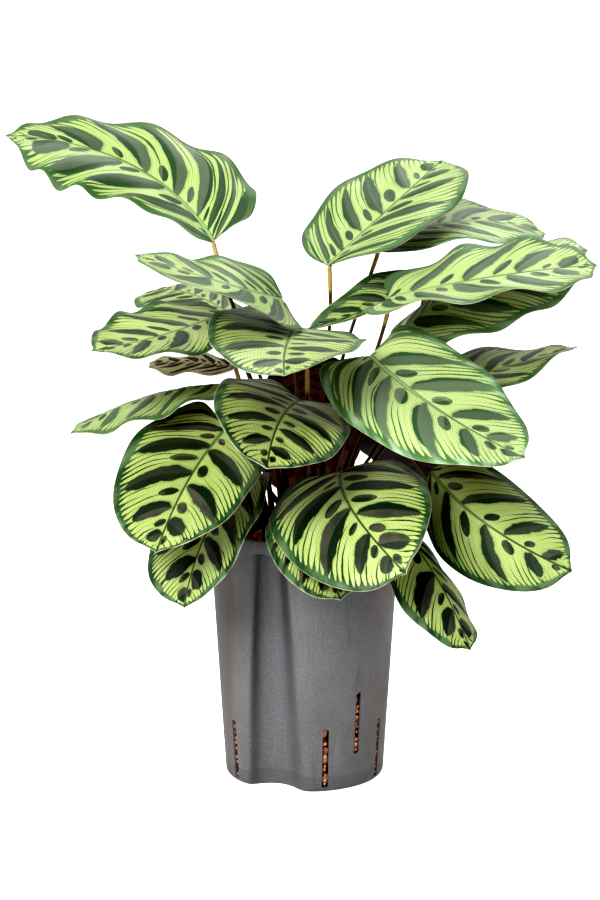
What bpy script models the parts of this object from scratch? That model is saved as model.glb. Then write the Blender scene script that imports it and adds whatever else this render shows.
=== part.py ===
"""Potted calathea: a culture pot filled with clay granules, and the leaves that stand in them.

All sizes below are millimetres and degrees. The origin is on the floor under the middle of the
pot. +X is right, +Y is away from the viewer and +Z is up.
"""

import math
import random
from collections import namedtuple

import bmesh
import bpy
import numpy as np
from mathutils import Matrix, Vector

MM = 0.001
GAP = 0.3                    # clearance between separate solids

# Culture pot
POT_HEIGHT = 192.0
RIM_RADIUS = 73.0
FOOT_RADIUS = 61.0           # at the top of the rounded foot
FOOT_ROUND = 5.0
RIM_BAND = 10.0              # plain band at the rim, which the gauge recess stops under
POT_WALL = 2.0
POT_FLOOR = 3.0
POT_SIDES = 60
INNER_CORNER = 4.0           # slant between the floor and the wall inside
HOLLOW_OVER = 2.0            # how far the hollow's cutter stands over the rim

# Gauge recess down the front left, as a plan outline at the foot and one at the band
RECESS_FOOT = ((-43.5, -70.0), (-41.5, -41.5), (-34.5, -34.5), (-18.0, -34.0), (-9.5, -42.0),
               (-2.0, -54.0), (4.0, -72.0))
RECESS_BAND = ((-43.0, -84.0), (-40.0, -62.0), (-32.0, -49.5), (-21.0, -48.0), (-17.0, -53.0),
               (-13.5, -68.0), (-10.5, -84.0))
RECESS_START = -2.0          # height at which the recess's cutter begins
RECESS_STRAIGHT = 8.0        # height up to which the foot outline holds
RECESS_TOP = POT_HEIGHT - RIM_BAND

# Water slots
SLOT_WIDTH = 4.9
LOW_SLOT = (4.0, 45.0)       # height of its foot and its length
HIGH_SLOT = (27.5, 47.5)
SLOT_ARCH = (0, 45, 90, 135, 180)    # degrees round the top of a slot
SLOT_PITCH = 24.0            # degrees from one slot to the next
SLOT_FIRST = 14.5            # degrees from the front toward +X
SLOT_COUNT = 15              # low and high in turn, the one on each side of the recess low
RECESS_SECTOR = (310.0, 360.0)   # degrees that the recess takes up, free of slots
SLOT_REACH = (50.0, 80.0)    # how far from the axis the bars that cut the slots begin and end

# Clay granules
GRANULE_TOP = 177.0
PEBBLE_RADII = (6.0, 8.5)
PEBBLE_SPOTS = 16
PEBBLE_RING = (44.0, 58.0)   # radii between which the loose top pebbles lie
PEBBLE_DRIFT = 6.0           # degrees that a pebble may lie off its even place in the ring
PEBBLE_FREE = (228, 268)     # degrees from +X toward +Y with no pebbles, behind the recess
PEBBLE_WIDTHS = (0.85, 1.1)  # how much wider or narrower a pebble is than its radius
PEBBLE_HEIGHT = 0.85
PEBBLE_LEAN = 0.6            # radians
PEBBLE_SINK = 0.25           # share of its radius that a pebble's middle lies under the top
FILL_CLEAR = 4 * GAP         # between the fill and the back of the recess wall
HOLE_DEPTH = 5.0
HOLE_SIDES = 10
HOLE_RADIUS = 3.9
HOLE_OVER = 20.0             # how far a hole's cutter stands over the fill
SEED = 5

# Leaf stalks
SHEATH_RADIUS = 3.2
STALK_RADIUS = 1.35
JOINT_RADIUS = 1.6           # swollen joint under the blade
JOINT_LENGTH = 24.0
STALK_SIDES = 6
LEAST_UPRIGHT = 34.0         # how far a stalk's curve keeps upright over the granules
UPRIGHT_SHARE = 0.5          # the same as a share of the stalk's height
SETTLE_SHARE = 0.35          # share of the stalk's length in which it turns toward the blade
SHEATH_SHARE = 0.5           # share of the stalk's length over which its sheath thins out
LOW_RINGS = 5                # rings below the joint, bunched toward the foot
RING_BUNCHING = 1.6
JOINT_STEP = 0.02            # share of the stalk's length in which it swells to the joint
LEAST_JOINT_START = 0.6
CLEAR_STEPS = 12             # places on the lower part of a stalk that a pebble is kept from
CLEAR_REACH = 0.4
SEAT_GAP = 0.35              # between a stalk's end and the rib of its blade

# Leaf blades
BLADE_THICKNESS = 0.7
RIB_DEPTH = 1.1              # how far the midrib stands under the blade at its base
RIB_FALL = 0.8               # share of that depth which is gone at the tip
LEAST_ROWS = 15
ROWS_PER_WAVE = 4.2
BLADE_COLUMNS = (-1.0, -0.6, -0.07, 0.0, 0.07, 0.6, 1.0)
MARGIN_START = 6.0           # degrees round the blade's oval where the margin leaves the stalk
MARGIN_END = 172.0           # and where the small pointed tip begins
TIP_ROW = 0.95
OVAL_REACH = 0.485           # half of the length that the oval takes, without the pointed tip
LOBE_TURN = 0.5              # radians round the oval at which the base lobes reach back most
LOBE_SPREAD = 0.33
POINT_HOLLOW = 1.3           # how hollow the sides of the pointed tip are
VEIN_SLANT = 1.35
VEIN_BEND = 1.4
MIDRIB_STEPS = 65
FLAT_TIP = 0.8               # share of the fold between the halves that is gone at the tip
LEFT_WAVE_SHIFT = 4.4        # radians by which the left margin's waves run ahead

Leaf = namedtuple(
    "Leaf",
    "name base tip width roll arch sway fold curl twist lobe taper blunt wave foot lean",
)
# base, tip: the ends of the midrib. roll: how far the right side is raised, looking from base to
# tip. arch, sway: how far the midrib bulges up and to the right. fold: how far each half is
# raised, right then left, and curl: how much more its margin is. lobe, taper, blunt: the outline.
# wave: height, number and phase of the margin's waves. foot: where the stalk stands. lean: how
# far outward of straight down the stalk leaves the blade.
LEAVES = (
    Leaf("top_left", (-69, 25, 405), (-232, 75, 484), 102, 44, -6, 33, (33, 19), (-44, -44), -39,
         0.02, (0.44, -0.7), 0.72, (4, 5.8, 95), (-12, 13), 0.6),
    Leaf("top_middle", (18, 34, 386), (110, 132, 464), 112, 0, 2, 3, (22, 18), (-43, -17), -8,
         0.0, (0.0, 0.0), 0.73, (2, 3, 0), (5, 19), -0.1),
    Leaf("right_upper", (62, -15, 365), (213, -38, 391), 106, -19, 7, 8, (8, 6), (10, -8), -10,
         0.11, (0.1, 0.1), 0.8, (4, 4, 0), (16, -2), 0.2),
    Leaf("right_under", (70, 8, 336), (213, 14, 399), 100, -19, 16, -1, (-10, -10), (-26, -22),
         -15, 0.08, (-0.06, -0.06), 0.84, (3, 4, 0), (22, 8), 0.3),
    Leaf("right_back", (57, 80, 397), (193, 112, 406), 94, -9, 15, -2, (6, 6), (-21, 0), -5,
         0.06, (0.0, 0.0), 0.88, (3, 3, 0), (12, 27), 0.4),
    Leaf("centre_raised", (94, 62, 369), (1, 6, 340), 48, 24, 2, -6, (30, 36), (-10, -10), 0,
         0.02, (0.5, 0.2), 0.95, (1, 3, 0), (27, 24), -0.2),
    Leaf("right_large", (47, -48, 326), (153, -130, 263), 110, -27, 0, 7, (8, 5), (-28, -1), 12,
         0.12, (0.2, 0.2), 0.74, (2, 3, 0), (14, -16), 0.2),
    Leaf("right_far", (80, 0, 289), (207, 18, 326), 88, -19, 0, -2, (9, 14), (-27, -9), 28,
         0.08, (0.06, 0.06), 0.87, (3, 3, 0), (30, 12), 0.4),
    Leaf("right_low", (93, -36, 239), (192, -92, 175), 92, -66, 26, 9, (-20, -10), (-24, -47),
         5, 0.05, (0.13, 0.13), 0.84, (2, 3, 0), (29, -8), 1.0),
    Leaf("bottom_right", (70, -62, 200), (117, -122, 124), 78, 5, 11, 5, (-5, -15), (-22, -24),
         3, 0.08, (0.03, 0.03), 0.86, (2, 3, 0), (24, -22), 3.0),
    Leaf("bottom_centre", (27, -35, 239), (69, -168, 189), 115, -25, 16, 11, (6, 0), (0, -32),
         -21, 0.07, (0.09, 0.09), 0.78, (2, 3, 0), (8, -24), 0.3),
    Leaf("bottom_under", (-3, -56, 212), (25, -138, 164), 70, -6, 10, 3, (6, 5), (-13, -15),
         -1, 0.08, (0.0, 0.0), 0.82, (1, 3, 0), (-3, -30), 1.0),
    Leaf("left_low", (-44, -38, 234), (-86, -106, 151), 90, -6, 10, 2, (14, 14), (-8, -15), -4,
         0.08, (0.0, 0.0), 0.86, (2, 3, 0), (-20, -24), 0.6),
    Leaf("left_large", (-57, -30, 271), (-103, -143, 199), 100, 16, 5, 4, (19, 13), (0, -13),
         -14, 0.09, (0.0, 0.0), 0.78, (2, 3, 0), (-28, -12), 0.4),
    Leaf("centre_low", (-3, -32, 291), (-26, -165, 261), 100, 10, 7, 5, (25, 6), (-17, -8), 6,
         0.08, (0.0, 0.0), 0.83, (2, 3, 0), (-6, -20), 0.1),
    Leaf("centre_high", (-6, -8, 342), (-14, -168, 325), 114, 12, 2, 4, (15, 10), (0, -8), -21,
         0.09, (0.0, 0.0), 0.78, (2, 3, 0), (-2, -10), 0.0),
    Leaf("left_upper", (-16, -4, 363), (-122, -62, 400), 92, 48, 16, -18, (-5, 7), (-16, 19),
         -27, 0.05, (0.03, 0.03), 0.9, (2, 3, 0), (-5, 2), 0.8),
    Leaf("left_middle", (-62, -2, 353), (-152, -82, 333), 90, 13, 0, -8, (8, 8), (1, -16), -5,
         0.07, (0.05, 0.05), 0.89, (3, 4, 0), (-16, -4), 0.8),
    Leaf("left_back", (-59, 40, 350), (-125, 95, 361), 72, 9, 9, -3, (0, 0), (-28, -18), 6,
         0.08, (0.03, 0.03), 0.85, (2, 3, 0), (-16, 22), 0.4),
    Leaf("left_small", (-52, 13, 312), (-116, -13, 317), 60, -20, 2, 0, (0, 0), (-10, -10), 0,
         0.08, (0.0, 0.0), 0.81, (2, 3, 0), (-24, 8), 0.3),
    Leaf("left_long", (-59, -2, 300), (-172, -44, 268), 92, -4, 9, -2, (-5, -3), (-26, -14), 5,
         0.08, (0.0, 0.0), 0.83, (3, 4, 0), (-28, -2), 0.3),
    Leaf("back_middle", (2, 60, 305), (0, 126, 188), 88, 4, 0, 3, (10, 10), (-15, -15), 5,
         0.08, (0.03, 0.03), 0.83, (3, 3, 0), (0, 27), 0.2),
    Leaf("back_right", (64, 40, 268), (114, 98, 194), 86, 10, 0, -3, (8, 10), (-15, -20), -5,
         0.08, (0.03, 0.03), 0.83, (3, 3, 0), (20, 32), 0.5),
    Leaf("back_left", (-60, 42, 262), (-114, 102, 198), 92, 8, 6, 3, (10, 8), (-20, -15), 5,
         0.08, (0.03, 0.03), 0.83, (3, 3, 0), (-12, 32), 0.3),
)


def unit(vector):
    """The vector, or each row of them, scaled to length one."""
    return vector / np.linalg.norm(vector, axis=-1, keepdims=True)


def oval(row, leaf, right):
    """Where the margin lies at each row: share of the length, share of the half width."""
    taper = np.where(right, leaf.taper[0], leaf.taper[1])
    start, end = math.radians(MARGIN_START), math.radians(MARGIN_END)
    angle = start + (end - start) * np.minimum(row / TIP_ROW, 1)
    back = leaf.lobe * np.exp(-(((angle - LOBE_TURN) / LOBE_SPREAD) ** 2))
    along = OVAL_REACH * (1 - np.cos(angle)) - back
    across = np.sin(angle) ** leaf.blunt * (1 + taper * np.cos(angle))
    point = np.clip((row - TIP_ROW) / (1 - TIP_ROW), 0, 1)
    return along + (1 - along) * point, across * (1 - point) ** POINT_HOLLOW


def blade_frame(leaf):
    """Base, control and tip point of the midrib's curve, and the blade's sideways direction."""
    base, tip = np.array(leaf.base, float), np.array(leaf.tip, float)
    ahead = unit(tip - base)
    level = unit(np.cross(ahead, (0, 0, 1)))
    upward = np.cross(level, ahead)
    roll = math.radians(leaf.roll)
    side = level * math.cos(roll) + upward * math.sin(roll)
    face = upward * math.cos(roll) - level * math.sin(roll)
    control = (base + tip) / 2 + 2 * leaf.arch * face + 2 * leaf.sway * side
    return base, control, tip, side


def midrib(leaf, along):
    """Points and directions of the midrib at these shares of its length."""
    base, control, tip, _ = blade_frame(leaf)
    u = np.linspace(0, 1, MIDRIB_STEPS)[:, None]
    fine = (1 - u) ** 2 * base + 2 * u * (1 - u) * control + u**2 * tip
    run = np.concatenate([[0], np.cumsum(np.linalg.norm(np.diff(fine, axis=0), axis=1))])
    inside = np.clip(along, 0, 1)
    t = np.interp(inside * run[-1], run, u[:, 0])[..., None]
    place = (1 - t) ** 2 * base + 2 * t * (1 - t) * control + t**2 * tip
    ahead = unit((1 - t) * (control - base) + t * (tip - control))
    return place + (along - inside)[..., None] * run[-1] * ahead, ahead


def bend(distance, fold, curl):
    """Sideways and upward reach of a half blade that leaves at fold and turns by curl."""
    turn = np.where(np.abs(curl) < 0.01, 0.01, curl)
    out = (np.sin(fold + turn * distance) - np.sin(fold)) / turn
    rise = (np.cos(fold) - np.cos(fold + turn * distance)) / turn
    return out, rise


def blade_surface(leaf, rows, columns):
    """Middle surface of a blade, as points by row (base to tip) and column (left to right)."""
    row, column = np.meshgrid(rows, columns, indexing="ij")
    share = np.abs(column)
    right = column > 0
    margin_along, margin_across = oval(row, leaf, right)
    along = row**VEIN_SLANT + (margin_along - row**VEIN_SLANT) * share**VEIN_BEND
    place, ahead = midrib(leaf, along)
    fold = np.radians(np.where(right, leaf.fold[0], leaf.fold[1])) * (1 - FLAT_TIP * row**6)
    curl = np.radians(np.where(right, leaf.curl[0], leaf.curl[1]))
    out, rise = bend(margin_across * share, fold, curl)
    height, number, phase = leaf.wave
    swing = 2 * math.pi * number * row + math.radians(phase) + np.where(right, 0, LEFT_WAVE_SHIFT)
    lift = rise * leaf.width / 2 + height * share**2 * margin_across * np.sin(swing)
    side = blade_frame(leaf)[3]
    side = unit(side - (ahead @ side)[..., None] * ahead)
    face = np.cross(side, ahead)
    twist = np.radians(leaf.twist) * along[..., None]
    out = (np.where(right, 1, -1) * out * leaf.width / 2)[..., None]
    turned_side = side * np.cos(twist) + face * np.sin(twist)
    turned_face = face * np.cos(twist) - side * np.sin(twist)
    return place + out * turned_side + lift[..., None] * turned_face


def surface_normals(points):
    """Unit normals of a grid of points, facing the blade's upper side."""
    down_rows = np.gradient(points, axis=0)
    over_columns = np.gradient(points, axis=1)
    down_rows[-1] = down_rows[-2]
    over_columns[-1] = over_columns[-2]
    return unit(np.cross(over_columns, down_rows))


def grid_faces(rows, columns, tip):
    """Triangles of a grid of rows by columns whose last row runs on to one tip point."""
    faces = []
    for i in range(rows - 1):
        for j in range(columns - 1):
            a, b = i * columns + j, i * columns + j + 1
            c, d = a + columns, b + columns
            if j < columns // 2:
                faces += [(a, b, d), (a, d, c)]
            else:
                faces += [(a, b, c), (b, d, c)]
    last = (rows - 1) * columns
    faces += [(last + j, last + j + 1, tip) for j in range(columns - 1)]
    return faces


def rim_of(rows, columns, tip):
    """The blade's margin as a closed run of point numbers, from the stalk round by the tip."""
    left = [i * columns for i in range(rows)]
    right = [i * columns + columns - 1 for i in range(rows)]
    start = list(range(columns - 2, 0, -1))
    return left + [tip] + right[::-1] + start


def blade_mesh(leaf):
    """Points and triangles of one blade as a thin closed solid with a rib under its middle."""
    row_count = max(LEAST_ROWS, round(ROWS_PER_WAVE * leaf.wave[1]))
    rows = np.linspace(0, 1, row_count + 1)[:-1]
    columns = np.array(BLADE_COLUMNS)
    middle = blade_surface(leaf, rows, columns)
    normals = surface_normals(middle)
    count = len(columns)
    half = BLADE_THICKNESS / 2
    rib = np.zeros(middle.shape[:2])
    rib[:, count // 2] = RIB_DEPTH * (1 - RIB_FALL * rows)
    upper = (middle + normals * half).reshape(-1, 3)
    lower = (middle - normals * (half + rib[..., None])).reshape(-1, 3)
    tip = np.array(leaf.tip, float)
    tip_normal = unit(normals[-1].mean(axis=0))
    upper = np.vstack([upper, tip + tip_normal * half])
    lower = np.vstack([lower, tip - tip_normal * half])
    points_each = len(upper)
    top_faces = grid_faces(len(rows), count, points_each - 1)
    faces = list(top_faces)
    faces += [tuple(p + points_each for p in reversed(face)) for face in top_faces]
    rim = rim_of(len(rows), count, points_each - 1)
    for p, q in zip(rim, rim[1:] + rim[:1]):
        faces += [(p, q, q + points_each), (p, q + points_each, p + points_each)]
    return np.vstack([upper, lower]), faces


def clear_scene():
    """Remove whatever the new file starts with."""
    for thing in list(bpy.data.objects):
        bpy.data.objects.remove(thing, do_unlink=True)


def add_object(name, points, faces):
    """A mesh object from points in millimetres, with all its faces turned outward."""
    mesh = bpy.data.meshes.new(name)
    mesh.from_pydata([Vector(p) * MM for p in points], [], faces)
    body = bmesh.new()
    body.from_mesh(mesh)
    bmesh.ops.recalc_face_normals(body, faces=body.faces)
    body.to_mesh(mesh)
    body.free()
    thing = bpy.data.objects.new(name, mesh)
    bpy.context.scene.collection.objects.link(thing)
    return thing


def combine(target, cutter, operation="DIFFERENCE"):
    """Apply one exact boolean to the target and drop the other object."""
    change = target.modifiers.new("combine", "BOOLEAN")
    change.operation = operation
    change.solver = "EXACT"
    change.object = cutter
    scene = bpy.context.evaluated_depsgraph_get()
    result = bpy.data.meshes.new_from_object(target.evaluated_get(scene))
    target.modifiers.clear()
    target.data = result
    bpy.data.objects.remove(cutter, do_unlink=True)


def turned(name, profile, sides=POT_SIDES):
    """A solid of revolution from (radius, height) points, with flat caps on its two ends."""
    points, faces = [], []
    for radius, height in profile:
        for k in range(sides):
            turn = 2 * math.pi * k / sides
            points.append((radius * math.cos(turn), radius * math.sin(turn), height))
    for start in range(0, len(points) - sides, sides):
        for k in range(sides):
            a, b = start + k, start + (k + 1) % sides
            faces.append((a, b, b + sides, a + sides))
    faces.append(tuple(range(sides)))
    faces.append(tuple(range(len(points) - sides, len(points))))
    return add_object(name, points, faces)


def side_radius(height):
    """Outer radius of the pot's straight tapering side at a height."""
    climb = (height - FOOT_ROUND) / (POT_HEIGHT - FOOT_ROUND)
    return FOOT_RADIUS + (RIM_RADIUS - FOOT_RADIUS) * climb


def outer_profile():
    """The pot's outside, from its flat foot up to the rim."""
    foot = []
    for degrees in (0, 35, 65, 90):
        turn = math.radians(degrees)
        radius = FOOT_RADIUS - FOOT_ROUND + FOOT_ROUND * math.sin(turn)
        foot.append((radius, FOOT_ROUND - FOOT_ROUND * math.cos(turn)))
    return foot + [(RIM_RADIUS, POT_HEIGHT)]


def inner_profile(inset, top):
    """The space inside the wall, or a fill that stands clear of it by the inset."""
    thick = POT_WALL + inset
    low = POT_FLOOR + inset
    corner = low + INNER_CORNER
    return [(side_radius(low) - thick - INNER_CORNER, low),
            (side_radius(corner) - thick, corner), (side_radius(top) - thick, top)]


def grown(outline, amount):
    """A plan outline pushed inward to the pot by an amount, for the back of the recess wall."""
    pushed = []
    count = len(outline)
    for k in range(count):
        before = Vector(outline[max(k - 1, 0)])
        after = Vector(outline[min(k + 1, count - 1)])
        along = (after - before).normalized()
        away = Vector((-along.y, along.x))
        pushed.append(Vector(outline[k]) + away * amount)
    return pushed


def recess(name, amount, top):
    """Solid that fills the gauge recess, thickened by an amount and reaching up to a top."""
    low = [(p[0], p[1]) for p in grown(RECESS_FOOT, amount)]
    high = [(p[0], p[1]) for p in grown(RECESS_BAND, amount)]
    climb = (top - RECESS_STRAIGHT) / (RECESS_TOP - RECESS_STRAIGHT)
    high = [(a[0] + (b[0] - a[0]) * climb, a[1] + (b[1] - a[1]) * climb)
            for a, b in zip(low, high)]
    count = len(low)
    rings = ((RECESS_START, low), (RECESS_STRAIGHT, low), (top, high))
    points = [(x, y, height) for height, ring in rings for x, y in ring]
    faces = [tuple(range(count)), tuple(range(2 * count, 3 * count))]
    for start in (0, count):
        for k in range(count):
            a, b = start + k, start + (k + 1) % count
            faces += [(a, b, b + count), (a, b + count, a + count)]
    return add_object(name, points, faces)


def slot_angles():
    """(degrees from the front toward +X, foot and length) of every slot clear of the recess."""
    spots = []
    for k in range(SLOT_COUNT):
        degrees = SLOT_FIRST + SLOT_PITCH * k
        if not RECESS_SECTOR[0] < degrees < RECESS_SECTOR[1]:
            spots.append((degrees, LOW_SLOT if k % 2 == 0 else HIGH_SLOT))
    return spots


def slot_section(foot, length):
    """Outline of a slot as (across, height) points: square at the foot and rounded on top."""
    half = SLOT_WIDTH / 2
    arch = [(half * math.cos(math.radians(turn)), math.sin(math.radians(turn)) * half)
            for turn in SLOT_ARCH]
    spring = foot + length - half
    return [(-half, foot), (half, foot)] + [(x, spring + z) for x, z in arch]


def slot_cutters():
    """A bar for each slot, pointing out from the axis through the wall, as one mesh."""
    points, faces = [], []
    for degrees, slot in slot_angles():
        section = slot_section(*slot)
        turn = Matrix.Rotation(math.radians(degrees), 4, "Z")
        first, count = len(points), len(section)
        points += [turn @ Vector((x, -reach, z)) for reach in SLOT_REACH for x, z in section]
        faces.append(tuple(first + n for n in range(count)))
        faces.append(tuple(first + count + n for n in range(count)))
        for k in range(count):
            n = (k + 1) % count
            faces.append((first + k, first + n, first + n + count, first + k + count))
    return add_object("slots", points, faces)


def make_pot():
    """The pot as one moulding."""
    pot = turned("pot", outer_profile())
    combine(pot, recess("recess", 0, RECESS_TOP))
    hollow = turned("hollow", inner_profile(0, POT_HEIGHT + HOLLOW_OVER))
    combine(hollow, recess("recess_back", POT_WALL, RECESS_TOP + POT_WALL))
    combine(pot, hollow)
    combine(pot, slot_cutters())
    return pot


def pebble(centre, radius, draw):
    """One rounded clay pebble, a little flattened and turned."""
    body = bmesh.new()
    bmesh.ops.create_icosphere(body, subdivisions=1, radius=radius)
    squash = Matrix.Diagonal((draw.uniform(*PEBBLE_WIDTHS), draw.uniform(*PEBBLE_WIDTHS),
                              PEBBLE_HEIGHT, 1))
    turn = Matrix.Rotation(draw.uniform(0, 2 * math.pi), 4, "Z")
    turn = turn @ Matrix.Rotation(PEBBLE_LEAN, 4, "X")
    body.transform(turn @ squash)
    points = [v.co + Vector(centre) for v in body.verts]
    faces = [tuple(v.index for v in f.verts) for f in body.faces]
    body.free()
    return add_object("pebble", points, faces)


def clear_of_stalks(centre, radius):
    """Whether a pebble leaves every stalk and its hole free."""
    for leaf in LEAVES:
        for step in range(CLEAR_STEPS):
            place = cubic(stalk_route(leaf), CLEAR_REACH * step / CLEAR_STEPS)[0]
            if (place - centre).length < radius + HOLE_RADIUS + 1:
                return False
    return True


def make_granules():
    """The fill: one body with loose pebbles on top and a plain hole for each stalk."""
    fill = turned("granules", inner_profile(GAP, GRANULE_TOP))
    combine(fill, recess("recess_clear", POT_WALL + FILL_CLEAR, RECESS_TOP + 2 * POT_WALL))
    draw = random.Random(SEED)
    for k in range(PEBBLE_SPOTS):
        degrees = 360 * k / PEBBLE_SPOTS + draw.uniform(-PEBBLE_DRIFT, PEBBLE_DRIFT)
        if PEBBLE_FREE[0] < degrees % 360 < PEBBLE_FREE[1]:
            continue
        turn = math.radians(degrees)
        reach = draw.uniform(*PEBBLE_RING)
        radius = draw.uniform(*PEBBLE_RADII)
        centre = Vector((reach * math.cos(turn), reach * math.sin(turn),
                         GRANULE_TOP - radius * PEBBLE_SINK))
        if clear_of_stalks(centre, radius):
            combine(fill, pebble(centre, radius, draw), "UNION")
    for leaf in LEAVES:
        hole = turned("hole", [(HOLE_RADIUS, GRANULE_TOP - HOLE_DEPTH),
                               (HOLE_RADIUS, GRANULE_TOP + HOLE_OVER)], HOLE_SIDES)
        hole.location = (leaf.foot[0] * MM, leaf.foot[1] * MM, 0)
        combine(fill, hole)
    return fill


def stalk_route(leaf):
    """Control points of the stalk's curve, from its foot in the granules to the blade."""
    base = Vector(leaf.base)
    _, ahead = midrib(leaf, np.array([0.0]))
    ahead = Vector(ahead[0])
    face = Vector(np.cross(blade_frame(leaf)[3], ahead))
    outward = Vector((ahead.x, ahead.y, 0))
    down = (Vector((0, 0, -1)) - outward * leaf.lean).normalized()
    tilt = math.sqrt(max(0.0, 1 - down.dot(face) ** 2))
    seat = RIB_DEPTH + BLADE_THICKNESS / 2 + SEAT_GAP + STALK_RADIUS * tilt
    end = base - face * seat
    start = Vector((leaf.foot[0], leaf.foot[1], GRANULE_TOP - HOLE_DEPTH + GAP))
    height = end.z - start.z
    upright = Vector((0, 0, max(height * UPRIGHT_SHARE, LEAST_UPRIGHT)))
    settle = end + down * (end - start).length * SETTLE_SHARE
    return start, start + upright, settle, end


def cubic(route, t):
    """Point and direction at t on the curve with these four control points."""
    start, rise, settle, end = route
    u = 1 - t
    place = start * u**3 + rise * 3 * u * u * t + settle * 3 * u * t * t + end * t**3
    ahead = (rise - start) * u * u + (settle - rise) * 2 * u * t + (end - settle) * t * t
    return place, ahead.normalized()


def stalk_rings(leaf):
    """(point, direction, radius) of each ring along a stalk."""
    route = stalk_route(leaf)
    joint = max(1 - JOINT_LENGTH / (route[3] - route[0]).length, LEAST_JOINT_START)
    steps = [joint * (k / LOW_RINGS) ** RING_BUNCHING for k in range(LOW_RINGS)]
    steps += [joint - JOINT_STEP, joint + JOINT_STEP, (joint + 1) / 2, 1]
    rings = []
    for t in steps:
        place, ahead = cubic(route, t)
        sheath = max(0.0, 1 - t / SHEATH_SHARE)
        radius = STALK_RADIUS + (SHEATH_RADIUS - STALK_RADIUS) * sheath
        if joint < t < 1:
            radius = JOINT_RADIUS
        rings.append((place, ahead, radius))
    return rings


def make_stalk(leaf):
    """One stalk as a closed tube that tapers from its sheath to the joint."""
    points, faces = [], []
    rings = stalk_rings(leaf)
    for place, ahead, radius in rings:
        side = Vector((0, 1, 0)).cross(ahead).normalized()
        other = ahead.cross(side)
        for k in range(STALK_SIDES):
            turn = 2 * math.pi * k / STALK_SIDES
            points.append(place + (side * math.cos(turn) + other * math.sin(turn)) * radius)
    for i in range(len(rings) - 1):
        for k in range(STALK_SIDES):
            n = (k + 1) % STALK_SIDES
            a, b = i * STALK_SIDES + k, i * STALK_SIDES + n
            faces.append((a, b, b + STALK_SIDES, a + STALK_SIDES))
    last = (len(rings) - 1) * STALK_SIDES
    faces.append(tuple(range(STALK_SIDES)))
    faces.append(tuple(last + k for k in range(STALK_SIDES)))
    return add_object("stalk_" + leaf.name, points, faces)


def main():
    """Build every solid."""
    clear_scene()
    make_pot()
    make_granules()
    for leaf in LEAVES:
        points, faces = blade_mesh(leaf)
        add_object("blade_" + leaf.name, points, faces)
        make_stalk(leaf)


main()
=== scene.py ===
"""Looks of the potted calathea: patterned leaves, their stalks, clay granules, culture pot, stage.

Sizes in the tables are millimetres and degrees, as in the part's own source. +X is right, +Y is
away from the viewer and +Z is up, with the origin on the floor under the middle of the pot.
"""

import math
import random
from collections import namedtuple
from types import SimpleNamespace

import bmesh
import bpy
import numpy as np
from bpy.props import FloatProperty, FloatVectorProperty, PointerProperty
from mathutils import Matrix, Vector


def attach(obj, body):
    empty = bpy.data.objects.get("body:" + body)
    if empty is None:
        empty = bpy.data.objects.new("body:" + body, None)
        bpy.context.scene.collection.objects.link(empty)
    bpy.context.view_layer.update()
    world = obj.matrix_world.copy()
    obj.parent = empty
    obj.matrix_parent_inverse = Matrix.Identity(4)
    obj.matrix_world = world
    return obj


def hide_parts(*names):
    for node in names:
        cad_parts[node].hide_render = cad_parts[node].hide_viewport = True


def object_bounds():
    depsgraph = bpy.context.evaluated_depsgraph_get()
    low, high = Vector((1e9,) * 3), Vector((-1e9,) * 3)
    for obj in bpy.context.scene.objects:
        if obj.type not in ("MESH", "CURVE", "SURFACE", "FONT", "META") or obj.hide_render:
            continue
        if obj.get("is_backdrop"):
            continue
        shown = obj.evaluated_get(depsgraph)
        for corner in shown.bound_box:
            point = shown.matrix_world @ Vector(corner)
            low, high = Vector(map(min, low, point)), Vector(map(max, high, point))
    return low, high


bl_info = {
    "name": "Potted Calathea",
    "version": (1, 0, 0),
    "blender": (4, 5, 0),
    "location": "View3D > Sidebar > Calathea",
    "description": "Dresses a potted calathea: leaves, stalks, clay granules, culture pot and stage",
    "category": "Object",
}

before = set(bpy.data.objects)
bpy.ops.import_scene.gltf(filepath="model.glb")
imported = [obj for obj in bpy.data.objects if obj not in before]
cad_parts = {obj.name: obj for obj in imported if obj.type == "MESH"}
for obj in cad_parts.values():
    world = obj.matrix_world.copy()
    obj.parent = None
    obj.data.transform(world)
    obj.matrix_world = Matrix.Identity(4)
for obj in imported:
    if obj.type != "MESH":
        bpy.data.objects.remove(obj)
CAD_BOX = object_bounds()
MM = 0.001

# Pot
POT_HEIGHT = 192.0
RIM_RADIUS = 73.0
FOOT_RADIUS = 61.0           # at the top of the rounded foot
FOOT_ROUND = 5.0
RIM_BAND = 10.0
POT_WALL = 2.0
POT_FLOOR = 3.0
RECESS_FOOT = ((-43.5, -70.0), (-41.5, -41.5), (-34.5, -34.5), (-18.0, -34.0), (-9.5, -42.0),
               (-2.0, -54.0), (4.0, -72.0))
RECESS_BAND = ((-43.0, -84.0), (-40.0, -62.0), (-32.0, -49.5), (-21.0, -48.0), (-17.0, -53.0),
               (-13.5, -68.0), (-10.5, -84.0))
RECESS_STRAIGHT = 8.0        # height up to which the foot outline holds
RECESS_TOP = POT_HEIGHT - RIM_BAND
ARC_POINTS = 300
RECESS_POINTS = 84
SHOULDER_SOFTNESS = 7.0      # how far the recess's corners are rounded, in outline points
SLOT_WIDTH = 4.9
LOW_SLOT = (4.0, 45.0)       # height of its foot and its length
HIGH_SLOT = (27.5, 47.5)
SLOT_PITCH = 24.0
SLOT_FIRST = 14.5            # degrees from the front toward +X
SLOT_COUNT = 15              # low and high in turn, the one on each side of the recess low
RECESS_SECTOR = (310.0, 360.0)   # degrees that the recess takes up, free of slots
RECESS_LEFT = -46.0          # a box round the recess
RECESS_RIGHT = -4.0
RECESS_BACK = -44.0
SHARP_DEGREES = 38.0
POT_BUMP = 0.00012           # metres

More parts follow.
